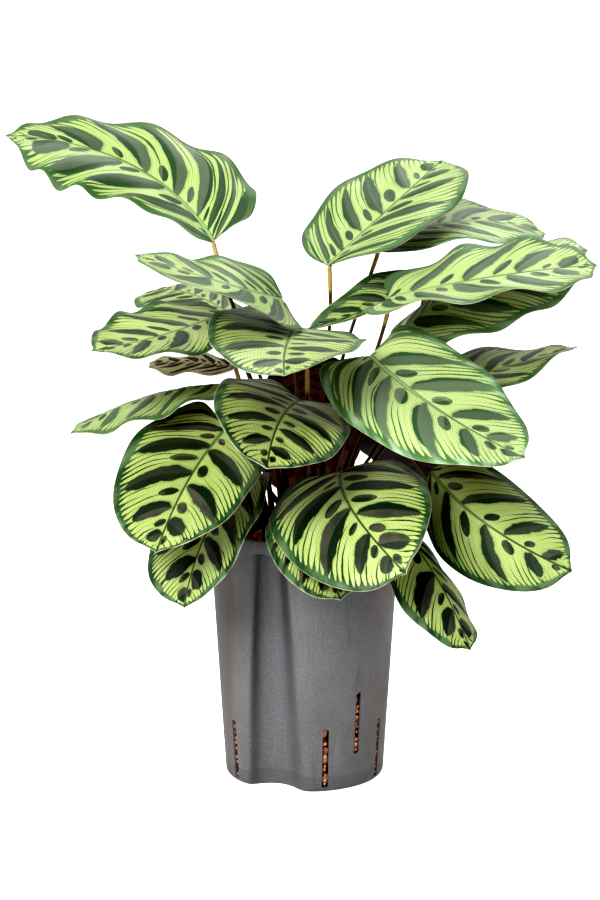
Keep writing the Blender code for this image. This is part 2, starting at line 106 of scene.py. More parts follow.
# Clay granules
GRANULE_TOP = 177.0
BED_TOP = 170.0              # fill painted near black as shade, showing between the pebbles
BED_INSET = 5.0
PEBBLE_TRIES = 5200
UPPER_SHARE = 0.45           # share of the tries that go to the upper layer
LOWER_LAYER = 6.5            # how much lower the others lie
STALK_ROOM = 3.0
SHRINKING = 3.2              # how much smaller the last pebbles may be than the first
CLOSENESS = 0.90             # less lets two pebbles overlap more
SLOT_PEBBLE = (3.0, 5.2)     # radii
CHIP = (1.1, 1.8)
CHIP_STEP = (1.7, 3.6)       # in radii
WIDE_STEP = (3.0, 7.0)       # mm more, now and then
WIDE_STEP_CHANCE = 0.15
CLAY_BUMP = 0.0006           # metres
LUMPS = 5
SEED = 7

# Leaf stalks
STALK_RADIUS = 1.35
LEAST_UPRIGHT = 34.0
SEAT_GAP = 0.35
HOLE_DEPTH = 5.0
GAP = 0.3
STALK_SIDES = 14
STALK_RINGS = 60
STALK_TAPER = 4.0            # length over which its end narrows
STALK_BUMP = 0.0002          # metres

# Leaf blades
BLADE_THICKNESS = 0.7
RIB_DEPTH = 1.1
BLADE_ROWS = 132
HALF_COLUMNS = 20
COLUMN_CROWDING = 1.25       # packs the columns toward the midrib
MARGIN_START = 6.0
MARGIN_END = 172.0
TIP_ROW = 0.95
TIP_BLUNTNESS = 1.3
OVAL_HALF = 0.485            # share of the length
LOBE_TURN = 0.5              # radians round the oval from its base
LOBE_SPREAD = 0.33
VEIN_SLANT = 1.35
VEIN_BEND = 1.4
FLAT_TIP = 0.8
LEFT_WAVE_SHIFT = 4.4
MARGIN_THINNING = 0.45       # share of its thickness that the blade loses at the margin
GROOVE_DEPTH = 0.55
GROOVE_HALF = 1.3
RIB_SPREAD = 1.2
MAP_LEFT = 0.015             # layout of the baked colours, in shares of its width
MAP_WIDTH = 0.465
MAP_UNDER = 0.505

# Pattern of the blades. A share runs from 0 on the midrib to 1 on the margin, and half a width is
# in spacings of the marks or streaks.
MARK_START = (-0.03, 0.04)   # shares between which the large marks start and end
MARK_END = (0.84, 0.96)
MARK_SHORTENING = 0.30       # how much shorter they are toward the tip
MARK_HALF = (0.24, 0.31)
MARK_POINT = 0.7             # less is blunter
STEM_HALF = (0.01, 0.035)
TAIL_END = 0.96
TAIL_HALF = (0.015, 0.09)
SMALL_START = 0.05
SMALL_END = (0.22, 0.42)
SMALL_HALF = (0.10, 0.17)
SMALL_SHIFT = 0.07
SMALL_POINT = 0.55
BROAD_JAG = 0.16
SMALL_JAG = 0.06
STREAK_COUNT = 26.0
STREAK_START = (0.0, 0.58)
STREAK_HALF = (0.08, 0.17)
CLOSING_START = 0.78
CLOSING_END = (0.92, 1.0)
BAND_WIDTH = (5.3, 1.0)      # mm at the base and at the tip
BAND_WANDER = 1.5
RIB_HALF = (0.62, 1.4)       # mm at the base, without and with the painted sheen
RIB_TIP_HALF = 0.06
CROSS_VEIN_GAP = 2.3         # mm
LEAF_BUMP = 0.00022          # metres

# Colours that the settings leave alone, as linear red, green and blue
GROUND_CLOUD = (0.45, 0.54, 0.17)
GROUND_YELLOW = (0.47, 0.54, 0.15)
# Painted sheen and painted light that lift the ground of the paler leaves, the second where they are
# strongest
GROUND_PAINTED_SHEEN = (0.42, 0.52, 0.24)
GROUND_FULL_PAINTED_SHEEN = (0.62, 0.74, 0.36)
FINE_VEIN = (0.27, 0.42, 0.11)
CROSS_VEIN = (0.24, 0.38, 0.10)
FRINGE = (0.17, 0.29, 0.08)
# Painted sheen on the dark marks
MARK_PAINTED_SHEEN = (0.050, 0.110, 0.048)
# Painted light on one side of each large mark's fold, brownish where clouded, then painted sheen on
# that lit side
MARK_LIT = (0.050, 0.055, 0.038)
MARK_CLOUD = (0.155, 0.122, 0.092)
MARK_LIT_PAINTED_SHEEN = (0.130, 0.190, 0.115)
MARK_LIT_FULL_PAINTED_SHEEN = (0.175, 0.235, 0.150)
# Painted sheen on the margin band
MARGIN_PAINTED_SHEEN = (0.09, 0.20, 0.065)
# Painted reflections in soft patches of the margin band, paler where the painted sheen is strongest
MARGIN_PAINTED_REFLECTION = (0.13, 0.21, 0.10)
MARGIN_FULL_PAINTED_REFLECTION = (0.38, 0.54, 0.34)
STREAK = (0.008, 0.030, 0.010)
# Painted sheen on the streaks
STREAK_PAINTED_SHEEN = (0.075, 0.16, 0.060)
RIB_SHADE = (0.012, 0.040, 0.012)
# Painted sheen beside the midrib
RIB_SHADE_PAINTED_SHEEN = (0.05, 0.13, 0.05)
RIB_BASE = (0.14, 0.25, 0.07)
RIB_END = (0.015, 0.05, 0.015)
# Painted sheen on the midrib, at its base and toward its tip
RIB_BASE_PAINTED_SHEEN = (0.40, 0.56, 0.28)
RIB_END_PAINTED_SHEEN = (0.08, 0.18, 0.07)
UNDER_BROWN = (0.42, 0.24, 0.09)
UNDER_CLOUD = (0.30, 0.13, 0.05)
UNDER_VEIN = (0.22, 0.08, 0.04)
# Deep maroon, partly the leaves' own colour and partly painted shade on the leaves behind the stalks
UNDER_DEEP = (0.035, 0.009, 0.006)
UNDER_DARK_CLOUD = (0.11, 0.022, 0.018)
# Painted shade on the marks of the leaves behind the stalks
UNDER_DARKEST = (0.012, 0.003, 0.003)
UNDER_RIB_DARK = (0.13, 0.05, 0.02)
UNDER_RIB = (0.36, 0.24, 0.09)
SHEATH_STREAK = (0.030, 0.004, 0.003)
STALK_STREAK = (0.030, 0.020, 0.010)
PLASTIC_SPECK = (0.210, 0.215, 0.218)
# Painted reflection, warm and paler, on the pot's left and right sides
PLASTIC_SIDE_REFLECTION = (0.165, 0.135, 0.110)
# Painted shade on the pot's left side
PLASTIC_LEFT_SHADE = (0.070, 0.062, 0.058)
PLASTIC_CLOUD = (0.125, 0.108, 0.096)
DARK_DRIP = (0.080, 0.070, 0.064)
PALE_DRIP = (0.27, 0.26, 0.25)
SCUFF = (0.40, 0.36, 0.33)
# Painted shade in the recess
RECESS_PAINTED_SHADE = (0.030, 0.030, 0.033)
POT_FOOT = (0.085, 0.083, 0.082)
CLAY_CORE = (0.20, 0.065, 0.028)
# Painted highlights, in pale patches
CLAY_HIGHLIGHT = (0.80, 0.44, 0.29)
CLAY_PIT = (0.06, 0.025, 0.015)
# Painted shade on the bed between the pebbles
CLAY_GAP_SHADE = (0.012, 0.007, 0.005)
WHITE = (1.0, 1.0, 1.0)

# Lights and camera, in metres
KEY_PLACE = (-0.85, -1.65, 1.35)
KEY_GOAL = (0.0, 0.0, 0.3)
KEY_SIZE = 1.1
SHEEN_PLACE = (0.5, 1.0, 1.9)
SHEEN_GOAL = (0.0, 0.0, 0.35)
SHEEN_SIZE = 1.2
SHEEN_SHARE = 0.35           # of the key light's power
FLOOR = ((-30000, -6000, 0), (30000, -6000, 0), (30000, 60000, 0), (-30000, 60000, 0))   # mm
LENS = 85.8
CAMERA_PLACE = (-0.0035, -1.6, 0.49)
CAMERA_DIP = 8.555           # degrees below level

Leaf = namedtuple(
    "Leaf",
    "name base tip width roll arch sway fold curl twist lobe taper blunt wave foot lean",
)
# base, tip: the ends of the midrib. roll: how far the right side is raised, looking from base to
# tip. arch, sway: how far the midrib bulges up and to the right. fold: how far each half is
# raised, right then left, and curl: how much more its margin is. lobe, taper, blunt: the outline.
# wave: height, number and phase of the margin's waves. foot: where the stalk stands. lean: how
# far outward of straight down the stalk leaves the blade.
LEAVES = (
    Leaf("top_left", (-69, 25, 405), (-232, 75, 484), 102, 44, -6, 33, (33, 19), (-44, -44), -39,
         0.02, (0.44, -0.7), 0.72, (4, 5.8, 95), (-12, 13), 0.6),
    Leaf("top_middle", (18, 34, 386), (110, 132, 464), 112, 0, 2, 3, (22, 18), (-43, -17), -8,
         0.0, (0.0, 0.0), 0.73, (2, 3, 0), (5, 19), -0.1),
    Leaf("right_upper", (62, -15, 365), (213, -38, 391), 106, -19, 7, 8, (8, 6), (10, -8), -10,
         0.11, (0.1, 0.1), 0.8, (4, 4, 0), (16, -2), 0.2),
    Leaf("right_under", (70, 8, 336), (213, 14, 399), 100, -19, 16, -1, (-10, -10), (-26, -22),
         -15, 0.08, (-0.06, -0.06), 0.84, (3, 4, 0), (22, 8), 0.3),
    Leaf("right_back", (57, 80, 397), (193, 112, 406), 94, -9, 15, -2, (6, 6), (-21, 0), -5,
         0.06, (0.0, 0.0), 0.88, (3, 3, 0), (12, 27), 0.4),
    Leaf("centre_raised", (94, 62, 369), (1, 6, 340), 48, 24, 2, -6, (30, 36), (-10, -10), 0,
         0.02, (0.5, 0.2), 0.95, (1, 3, 0), (27, 24), -0.2),
    Leaf("right_large", (47, -48, 326), (153, -130, 263), 110, -27, 0, 7, (8, 5), (-28, -1), 12,
         0.12, (0.2, 0.2), 0.74, (2, 3, 0), (14, -16), 0.2),
    Leaf("right_far", (80, 0, 289), (207, 18, 326), 88, -19, 0, -2, (9, 14), (-27, -9), 28,
         0.08, (0.06, 0.06), 0.87, (3, 3, 0), (30, 12), 0.4),
    Leaf("right_low", (93, -36, 239), (192, -92, 175), 92, -66, 26, 9, (-20, -10), (-24, -47),
         5, 0.05, (0.13, 0.13), 0.84, (2, 3, 0), (29, -8), 1.0),
    Leaf("bottom_right", (70, -62, 200), (117, -122, 124), 78, 5, 11, 5, (-5, -15), (-22, -24),
         3, 0.08, (0.03, 0.03), 0.86, (2, 3, 0), (24, -22), 3.0),
    Leaf("bottom_centre", (27, -35, 239), (69, -168, 189), 115, -25, 16, 11, (6, 0), (0, -32),
         -21, 0.07, (0.09, 0.09), 0.78, (2, 3, 0), (8, -24), 0.3),
    Leaf("bottom_under", (-3, -56, 212), (25, -138, 164), 70, -6, 10, 3, (6, 5), (-13, -15),
         -1, 0.08, (0.0, 0.0), 0.82, (1, 3, 0), (-3, -30), 1.0),
    Leaf("left_low", (-44, -38, 234), (-86, -106, 151), 90, -6, 10, 2, (14, 14), (-8, -15), -4,
         0.08, (0.0, 0.0), 0.86, (2, 3, 0), (-20, -24), 0.6),
    Leaf("left_large", (-57, -30, 271), (-103, -143, 199), 100, 16, 5, 4, (19, 13), (0, -13),
         -14, 0.09, (0.0, 0.0), 0.78, (2, 3, 0), (-28, -12), 0.4),
    Leaf("centre_low", (-3, -32, 291), (-26, -165, 261), 100, 10, 7, 5, (25, 6), (-17, -8), 6,
         0.08, (0.0, 0.0), 0.83, (2, 3, 0), (-6, -20), 0.1),
    Leaf("centre_high", (-6, -8, 342), (-14, -168, 325), 114, 12, 2, 4, (15, 10), (0, -8), -21,
         0.09, (0.0, 0.0), 0.78, (2, 3, 0), (-2, -10), 0.0),
    Leaf("left_upper", (-16, -4, 363), (-122, -62, 400), 92, 48, 16, -18, (-5, 7), (-16, 19),
         -27, 0.05, (0.03, 0.03), 0.9, (2, 3, 0), (-5, 2), 0.8),
    Leaf("left_middle", (-62, -2, 353), (-152, -82, 333), 90, 13, 0, -8, (8, 8), (1, -16), -5,
         0.07, (0.05, 0.05), 0.89, (3, 4, 0), (-16, -4), 0.8),
    Leaf("left_back", (-59, 40, 350), (-125, 95, 361), 72, 9, 9, -3, (0, 0), (-28, -18), 6,
         0.08, (0.03, 0.03), 0.85, (2, 3, 0), (-16, 22), 0.4),
    Leaf("left_small", (-52, 13, 312), (-116, -13, 317), 60, -20, 2, 0, (0, 0), (-10, -10), 0,
         0.08, (0.0, 0.0), 0.81, (2, 3, 0), (-24, 8), 0.3),
    Leaf("left_long", (-59, -2, 300), (-172, -44, 268), 92, -4, 9, -2, (-5, -3), (-26, -14), 5,
         0.08, (0.0, 0.0), 0.83, (3, 4, 0), (-28, -2), 0.3),
    Leaf("back_middle", (2, 60, 305), (0, 126, 188), 88, 4, 0, 3, (10, 10), (-15, -15), 5,
         0.08, (0.03, 0.03), 0.83, (3, 3, 0), (0, 27), 0.2),
    Leaf("back_right", (64, 40, 268), (114, 98, 194), 86, 10, 0, -3, (8, 10), (-15, -20), -5,
         0.08, (0.03, 0.03), 0.83, (3, 3, 0), (20, 32), 0.5),
    Leaf("back_left", (-60, 42, 262), (-114, 102, 198), 92, 8, 6, 3, (10, 8), (-20, -15), 5,
         0.08, (0.03, 0.03), 0.83, (3, 3, 0), (-12, 32), 0.3),
)

# Where the large dark marks leave the midrib, as shares of its length: right half, then left.
MARKS = {
    "top_left": ((0.05, 0.13, 0.27, 0.43, 0.65, 0.83), (0.12, 0.33, 0.54, 0.78)),
    "top_middle": ((0.16, 0.34, 0.60, 0.80), (0.0, 0.12, 0.28, 0.45, 0.70, 0.90)),
    "right_upper": ((0.14, 0.33, 0.58, 0.80), (0.12, 0.38, 0.63, 0.84)),
    "right_under": ((0.10, 0.28, 0.50, 0.75), (0.06, 0.22, 0.42, 0.66, 0.86)),
    "right_large": ((0.03, 0.17, 0.42, 0.67), (0.07, 0.30, 0.57, 0.79)),
    "right_low": ((0.0, 0.20, 0.50, 0.76), (0.08, 0.32, 0.60, 0.84)),
    "bottom_right": ((0.05, 0.45, 0.72), (0.0, 0.20, 0.56, 0.82)),
    "bottom_centre": ((0.07, 0.25, 0.49, 0.71, 0.88), (0.03, 0.30, 0.55, 0.79)),
    "left_low": ((0.05, 0.22, 0.42, 0.68, 0.90), (0.10, 0.33, 0.54, 0.78)),
    "left_large": ((0.04, 0.20, 0.44, 0.70, 0.88), (0.03, 0.24, 0.54, 0.80)),
    "centre_low": ((0.10, 0.27, 0.50, 0.73), (0.12, 0.35, 0.58, 0.80)),
    "centre_high": ((0.03, 0.24, 0.50, 0.78), (0.12, 0.32, 0.54, 0.78)),
    "left_middle": ((0.08, 0.30, 0.55, 0.80), (0.15, 0.40, 0.65)),
    "left_upper": ((0.04, 0.17, 0.34, 0.58, 0.80), (0.10, 0.36, 0.60, 0.82)),
}
USUAL_MARKS = ((0.05, 0.19, 0.37, 0.58, 0.80), (0.09, 0.26, 0.46, 0.68, 0.88))
SWEEP = (0.20, 0.18)         # how much further than the mesh's rows the veins run to the tip
SWEEP_POWER = 3
# How pale each leaf's under side is, from dark maroon 0 to striped cream 1, partly its own
# colour and partly painted shade and painted light; how strong the grey-green painted sheen and
# painted light on its upper side are; and how full its large marks are
TONES = {
    "top_left": (0.4, 0.7, 1.05), "top_middle": (0.2, 0.75, 0.9),
    "right_upper": (0.5, 0.8, 0.85), "right_under": (0.2, 0.9, 1.0),
    "right_back": (0.2, 0.95, 1.0), "centre_raised": (0.5, 0.5, 1.0),
    "right_large": (0.2, 1.0, 0.8), "right_far": (0.2, 0.5, 0.8),
    "right_low": (0.2, 0.3, 0.7), "centre_low": (0.2, 0.05, 0.8), "bottom_centre": (0.2, 0.15, 0.95),
    "left_large": (0.2, 0.15, 1.0), "centre_high": (0.2, 0.45, 0.85),
    "left_upper": (0.2, 0.8, 1.0), "left_middle": (0.2, 0.35, 0.8), "left_back": (0.2, 0.5, 1.0),
    # left_small's cream under side is partly painted light; the dark maroon under sides of the
    # leaves at the back are painted shade
    "left_small": (1.0, 0.3, 1.0), "left_long": (0.6, 0.85, 0.7), "back_middle": (0.15, 0.0, 1.0),
    "back_right": (0.0, 0.0, 1.0), "back_left": (0.0, 0.0, 1.0),
}
USUAL_TONES = (0.2, 0.05, 1.0)


def unit(vector):
    """The vector, or each row of them, scaled to length one."""
    return vector / np.linalg.norm(vector, axis=-1, keepdims=True)


def oval(row, leaf, right):
    """Where the margin lies at each row: share of the length, share of the half width."""
    taper = np.where(right, leaf.taper[0], leaf.taper[1])
    start, end = math.radians(MARGIN_START), math.radians(MARGIN_END)
    angle = start + (end - start) * np.minimum(row / TIP_ROW, 1)
    lobe = leaf.lobe * np.exp(-((angle - LOBE_TURN) / LOBE_SPREAD) ** 2)
    along = OVAL_HALF * (1 - np.cos(angle)) - lobe
    across = np.sin(angle) ** leaf.blunt * (1 + taper * np.cos(angle))
    point = np.clip((row - TIP_ROW) / (1 - TIP_ROW), 0, 1)
    return along + (1 - along) * point, across * (1 - point) ** TIP_BLUNTNESS


def blade_frame(leaf):
    """Base, control and tip point of the midrib's curve, and the blade's sideways direction."""
    base, tip = np.array(leaf.base, float), np.array(leaf.tip, float)
    ahead = unit(tip - base)
    level = unit(np.cross(ahead, (0, 0, 1)))
    upward = np.cross(level, ahead)
    roll = math.radians(leaf.roll)
    side = level * math.cos(roll) + upward * math.sin(roll)
    face = upward * math.cos(roll) - level * math.sin(roll)
    control = (base + tip) / 2 + 2 * leaf.arch * face + 2 * leaf.sway * side
    return base, control, tip, side


def midrib(leaf, along):
    """Points and directions of the midrib at these shares of its length."""
    base, control, tip, _ = blade_frame(leaf)
    u = np.linspace(0, 1, 65)[:, None]
    fine = (1 - u) ** 2 * base + 2 * u * (1 - u) * control + u**2 * tip
    run = np.concatenate([[0], np.cumsum(np.linalg.norm(np.diff(fine, axis=0), axis=1))])
    inside = np.clip(along, 0, 1)
    t = np.interp(inside * run[-1], run, u[:, 0])[..., None]
    place = (1 - t) ** 2 * base + 2 * t * (1 - t) * control + t**2 * tip
    ahead = unit((1 - t) * (control - base) + t * (tip - control))
    return place + (along - inside)[..., None] * run[-1] * ahead, ahead


def bend(distance, fold, curl):
    """Sideways and upward reach of a half blade that leaves at fold and turns by curl."""
    turn = np.where(np.abs(curl) < 0.01, 0.01, curl)
    out = (np.sin(fold + turn * distance) - np.sin(fold)) / turn
    rise = (np.cos(fold) - np.cos(fold + turn * distance)) / turn
    return out, rise


def blade_surface(leaf, rows, columns):
    """Middle surface of a blade, as points by row (base to tip) and column (left to right)."""
    row, column = np.meshgrid(rows, columns, indexing="ij")
    share = np.abs(column)
    right = column > 0
    margin_along, margin_across = oval(row, leaf, right)
    along = row**VEIN_SLANT + (margin_along - row**VEIN_SLANT) * share**VEIN_BEND
    place, ahead = midrib(leaf, along)
    fold = np.radians(np.where(right, leaf.fold[0], leaf.fold[1])) * (1 - FLAT_TIP * row**6)
    curl = np.radians(np.where(right, leaf.curl[0], leaf.curl[1]))
    out, rise = bend(margin_across * share, fold, curl)
    height, number, phase = leaf.wave
    swing = 2 * math.pi * number * row + math.radians(phase) + np.where(right, 0, LEFT_WAVE_SHIFT)
    lift = rise * leaf.width / 2 + height * share**2 * margin_across * np.sin(swing)
    side = blade_frame(leaf)[3]
    side = unit(side - (ahead @ side)[..., None] * ahead)
    face = np.cross(side, ahead)
    twist = np.radians(leaf.twist) * along[..., None]
    out = (np.where(right, 1, -1) * out * leaf.width / 2)[..., None]
    turned_side = side * np.cos(twist) + face * np.sin(twist)
    turned_face = face * np.cos(twist) - side * np.sin(twist)
    return place + out * turned_side + lift[..., None] * turned_face


def surface_normals(points):
    """Unit normals of a grid of points, facing the blade's upper side."""
    down_rows = np.gradient(points, axis=0)
    over_columns = np.gradient(points, axis=1)
    down_rows[-1] = down_rows[-2]
    over_columns[-1] = over_columns[-2]
    return unit(np.cross(over_columns, down_rows))


def new_piece(name, points, faces):
    """A smooth mesh object in the scene from points in millimetres."""
    mesh = bpy.data.meshes.new(name)
    mesh.from_pydata((np.asarray(points) * MM).tolist(), [], faces)
    mesh.shade_smooth()
    piece = bpy.data.objects.new(name, mesh)
    bpy.context.scene.collection.objects.link(piece)
    return piece


def face_outward(piece):
    """Turn all faces of a closed piece outward."""
    body = bmesh.new()
    body.from_mesh(piece.data)
    bmesh.ops.recalc_face_normals(body, faces=body.faces)
    body.to_mesh(piece.data)
    body.free()


# Materials


class Value:
    """A node's output that is reckoned with like a number. Each step adds one node."""

    def __init__(self, tree, socket):
        self.tree = tree
        self.socket = socket

    def __add__(self, other):
        return self.step("ADD", self, other)

    def __sub__(self, other):
        return self.step("SUBTRACT", self, other)

    def __rsub__(self, other):
        return self.step("SUBTRACT", other, self)

    def __mul__(self, other):
        return self.step("MULTIPLY", self, other)

    def __truediv__(self, other):
        return self.step("DIVIDE", self, other)

    def __pow__(self, other):
        return self.step("POWER", self, other)

    def __gt__(self, other):
        return self.step("GREATER_THAN", self, other)

    def __lt__(self, other):
        return self.step("LESS_THAN", self, other)

    def __abs__(self):
        return self.step("ABSOLUTE", self)

    def __round__(self):
        return self.step("ROUND", self)

    def zigzag(self):
        """Straight up from 0 to a half and down again, over and over."""
        return self.step("PINGPONG", self, 0.5)

    def step(self, operation, *given):
        """One step of arithmetic."""
        return added(self.tree, "Math", dict(enumerate(given)), operation=operation)

    def scaled(self, low, high, to_low=0.0, to_high=1.0, way="LINEAR"):
        """Straight ramp of the value between low and high, held at its ends."""
        inputs = dict(enumerate((self, low, high, to_low, to_high)))
        return added(self.tree, "MapRange", inputs, interpolation_type=way)

    def eased(self, low, high, to_low=0.0, to_high=1.0):
        """Smooth step of the value between low and high."""
        return self.scaled(low, high, to_low, to_high, "SMOOTHSTEP")

    def fading(self, low, high):
        """Smooth step from one down to nothing between low and high."""
        return self.eased(low, high, 1.0, 0.0)

    def spread(self, to_low, to_high):
        """A value from 0 to 1 as the place between two others."""
        return self.scaled(0.0, 1.0, to_low, to_high)


def set_inputs(node, inputs):
    """Link values, or set numbers and colours, on a node's inputs by their name or number."""
    for key, value in inputs.items():
        socket = node.inputs[key]
        if isinstance(value, Value):
            node.id_data.links.new(value.socket, socket)
        elif socket.type == "RGBA":
            socket.default_value = (*value, 1.0)
        else:
            socket.default_value = value


def added(tree, kind, inputs, output=0, **fields):
    """An output of a new shader node, by name or number, as a value."""
    node = tree.nodes.new("ShaderNode" + kind)
    for name, setting in fields.items():
        setattr(node, name, setting)
    set_inputs(node, inputs)
    return Value(tree, node.outputs[output])


def most(first, *others):
    """The greatest of some values."""
    for other in others:
        first = first.step("MAXIMUM", first, other)
    return first


def mixed(share, first, second):
    """Mix of two colours."""
    return added(share.tree, "Mix", {0: share, 6: first, 7: second}, 2, data_type="RGBA")


def layered(colour, *layers):
    """A colour with others laid over it in turn, each by its share."""
    for share, other in layers:
        colour = mixed(share, colour, other)
    return colour


def joined(x, y, z):
    """A vector from three values."""
    return added(x.tree, "CombineXYZ", {"X": x, "Y": y, "Z": z})


def parted(vector):
    """The three values of a vector."""
    node = added(vector.tree, "SeparateXYZ", {0: vector}).socket.node
    return tuple(Value(vector.tree, socket) for socket in node.outputs)


def noise(vector, scale, detail=2.0, roughness=0.5):
    """Soft noise between 0 and 1."""
    return added(vector.tree, "TexNoise", {"Vector": vector, "Scale": scale, "Detail": detail,
                                           "Roughness": roughness})


def chance(x, y, z):
    """Three even random values for each whole-number place."""
    return parted(added(x.tree, "TexWhiteNoise", {"Vector": joined(x, y, z)}, "Color"))


def mesh_value(tree, name, output="Vector"):
    """What a piece's mesh carries under a name."""
    return added(tree, "Attribute", {}, output, attribute_name=name)


def place_on(tree, output="Object"):
    """Coordinates on the piece in metres."""
    return added(tree, "TexCoord", {}, output)


def camera_sees(tree):
    """One where the camera itself looks, nothing where light does."""
    return added(tree, "LightPath", {}, "Is Camera Ray")


def raised(height, distance, strength=0.5):
    """A bump from a height value."""
    inputs = {"Height": height, "Distance": distance, "Strength": strength}
    return added(height.tree, "Bump", inputs)


def new_finish(name):
    """An empty material, its node tree and its Principled shader."""
    finish = bpy.data.materials.new(name)
    finish.use_nodes = True
    tree = finish.node_tree
    return finish, tree, next(n for n in tree.nodes if n.type == "BSDF_PRINCIPLED")


def mark_depth(inner, outer, share, half, away, jag, point):
    """How deep a place lies in a spindle-shaped mark, less than zero outside it."""
    run = share.scaled(inner, outer)
    body = (run * (1.0 - run) * 4.0) ** point
    return body * half - away + jag - (body < 0.001)


def ragged(place, share, seed):
    """Uneven outline of the marks: broad swells with small steps on them."""
    broad = noise(joined(place * 1.6, share * 3.0, seed), 1.6, 1.0)
    small = noise(joined(place * 9.0, share * 20.0, seed), 2.4, 2.0, 0.7)
    return (broad - 0.5) * BROAD_JAG + (small - 0.5) * SMALL_JAG


def large_marks(place, share, seed, along, fullness, jag):
    """Long dark marks from the midrib nearly to the margin, each with a tail."""
    number = round(place)
    offset = place - number
    away = abs(offset)
    first, second, third = chance(number, seed, 0.0)
    inner = first.spread(*MARK_START)
    outer = second.spread(*MARK_END) - along.eased(0.45, 1.0, 0.0, MARK_SHORTENING)
    half = third.spread(*MARK_HALF) * fullness
    stem = share.scaled(inner, 0.0, *STEM_HALF)
    widening = share.eased(outer, TAIL_END, *TAIL_HALF)
    return SimpleNamespace(
        depth=mark_depth(inner, outer, share, half, away, jag, MARK_POINT),
        tail=most(widening, stem) - away,
        # paler and side set how much painted light one side of the mark gets, and which side
        paler=second,
        side=offset * ((first > 0.45) * 2.0 - 1.0),
        ridge=away.fading(0.0, 0.05),
    )


def small_marks(place, share, seed, jag):
    """Short dark marks by the midrib, between the large ones, and the stems to them."""
    shifted = place + 0.5
    number = round(shifted)
    one, two, three = chance(number, seed, 5.0)
    away = abs(shifted - number - three.spread(-SMALL_SHIFT, SMALL_SHIFT))
    depth = mark_depth(SMALL_START, one.spread(*SMALL_END), share, two.spread(*SMALL_HALF),
                       away, jag * 0.4, SMALL_POINT)
    return depth, share.scaled(0.04, 0.14, 0.02, -0.02) - away


def streaks(share, seed, along):
    """Dark lines along the veins that widen until they close up at the margin."""
    vein = along * STREAK_COUNT + noise(joined(along * 5.0, share, seed), 2.0) * 1.2
    number = round(vein)
    early, broad, late = chance(number, seed, 9.0)
    start = early.spread(*STREAK_START)
    width = share.scaled(start, start + 0.40, -0.015, broad.spread(*STREAK_HALF))
    closing = share.scaled(CLOSING_START, late.spread(*CLOSING_END))
    return width + closing * closing * 0.42 - abs(vein - number), vein


def leaf_marks(tree):
    """Masks of the blade's pattern, and the values that they are made from."""
    place, share, seed = parted(mesh_value(tree, "marks"))
    along, from_rib, from_edge = parted(mesh_value(tree, "veins"))
    # The under side's tone, the painted sheen and painted light on the upper side, and how full the
    # large marks are
    tone, painted_sheen, fullness = parted(mesh_value(tree, "tones"))
    jag = ragged(place, share, seed)
    large = large_marks(place, share, seed, along, fullness, jag)
    small, stem = small_marks(place, share, seed, jag)
    streak, vein = streaks(share, seed, along)
    soft = noise(joined(along * 4.0, share, seed), 2.0, 3.0)
    band = along.spread(*BAND_WIDTH) + soft.scaled(0.3, 0.7, -BAND_WANDER, BAND_WANDER)
    rib = along.scaled(0.0, 0.7, painted_sheen.scaled(0.4, 1.0, *RIB_HALF), RIB_TIP_HALF)
    return SimpleNamespace(
        marks=most(large.depth.eased(0.0, 0.015), small.eased(0.0, 0.012)),
        lines=most(large.tail, stem, streak).eased(-0.002, 0.03),
        fringe=most(large.depth, streak).eased(-0.08, 0.01),
        band=from_edge.fading(band, band + 1.2),
        rib=from_rib.fading(rib, rib + 0.3),
        rib_side=from_rib.fading(rib + 0.5, rib + 1.0),
        edge=from_edge.fading(0.2, 0.4) * soft.scaled(0.35, 0.55, 0.25, 1.0),
        fine=(vein * 3.0).zigzag().fading(0.0, 0.25),
        hatch=(from_rib / CROSS_VEIN_GAP).zigzag().fading(0.0, 0.25),
        side=large.side, paler=large.paler, ridge=large.ridge,
        seed=seed, along=along, share=share, soft=soft, tone=tone, painted_sheen=painted_sheen,
    )


def leaf_cloud(marks, stretch):
    """Soft noise that follows the blade's veins."""
    return noise(joined(marks.along * stretch, marks.share, marks.seed), 3.0, 4.0)


def leaf_bump(tree, marks):
    """Fine ribs along the veins, shallow marks and a slight grain."""
    grain = noise(place_on(tree), 900.0)
    height = (marks.fine * -0.5 + marks.hatch * -0.25 + grain * 0.35 - marks.marks * 0.6
              + marks.ridge * 0.6)
    return raised(height, LEAF_BUMP)


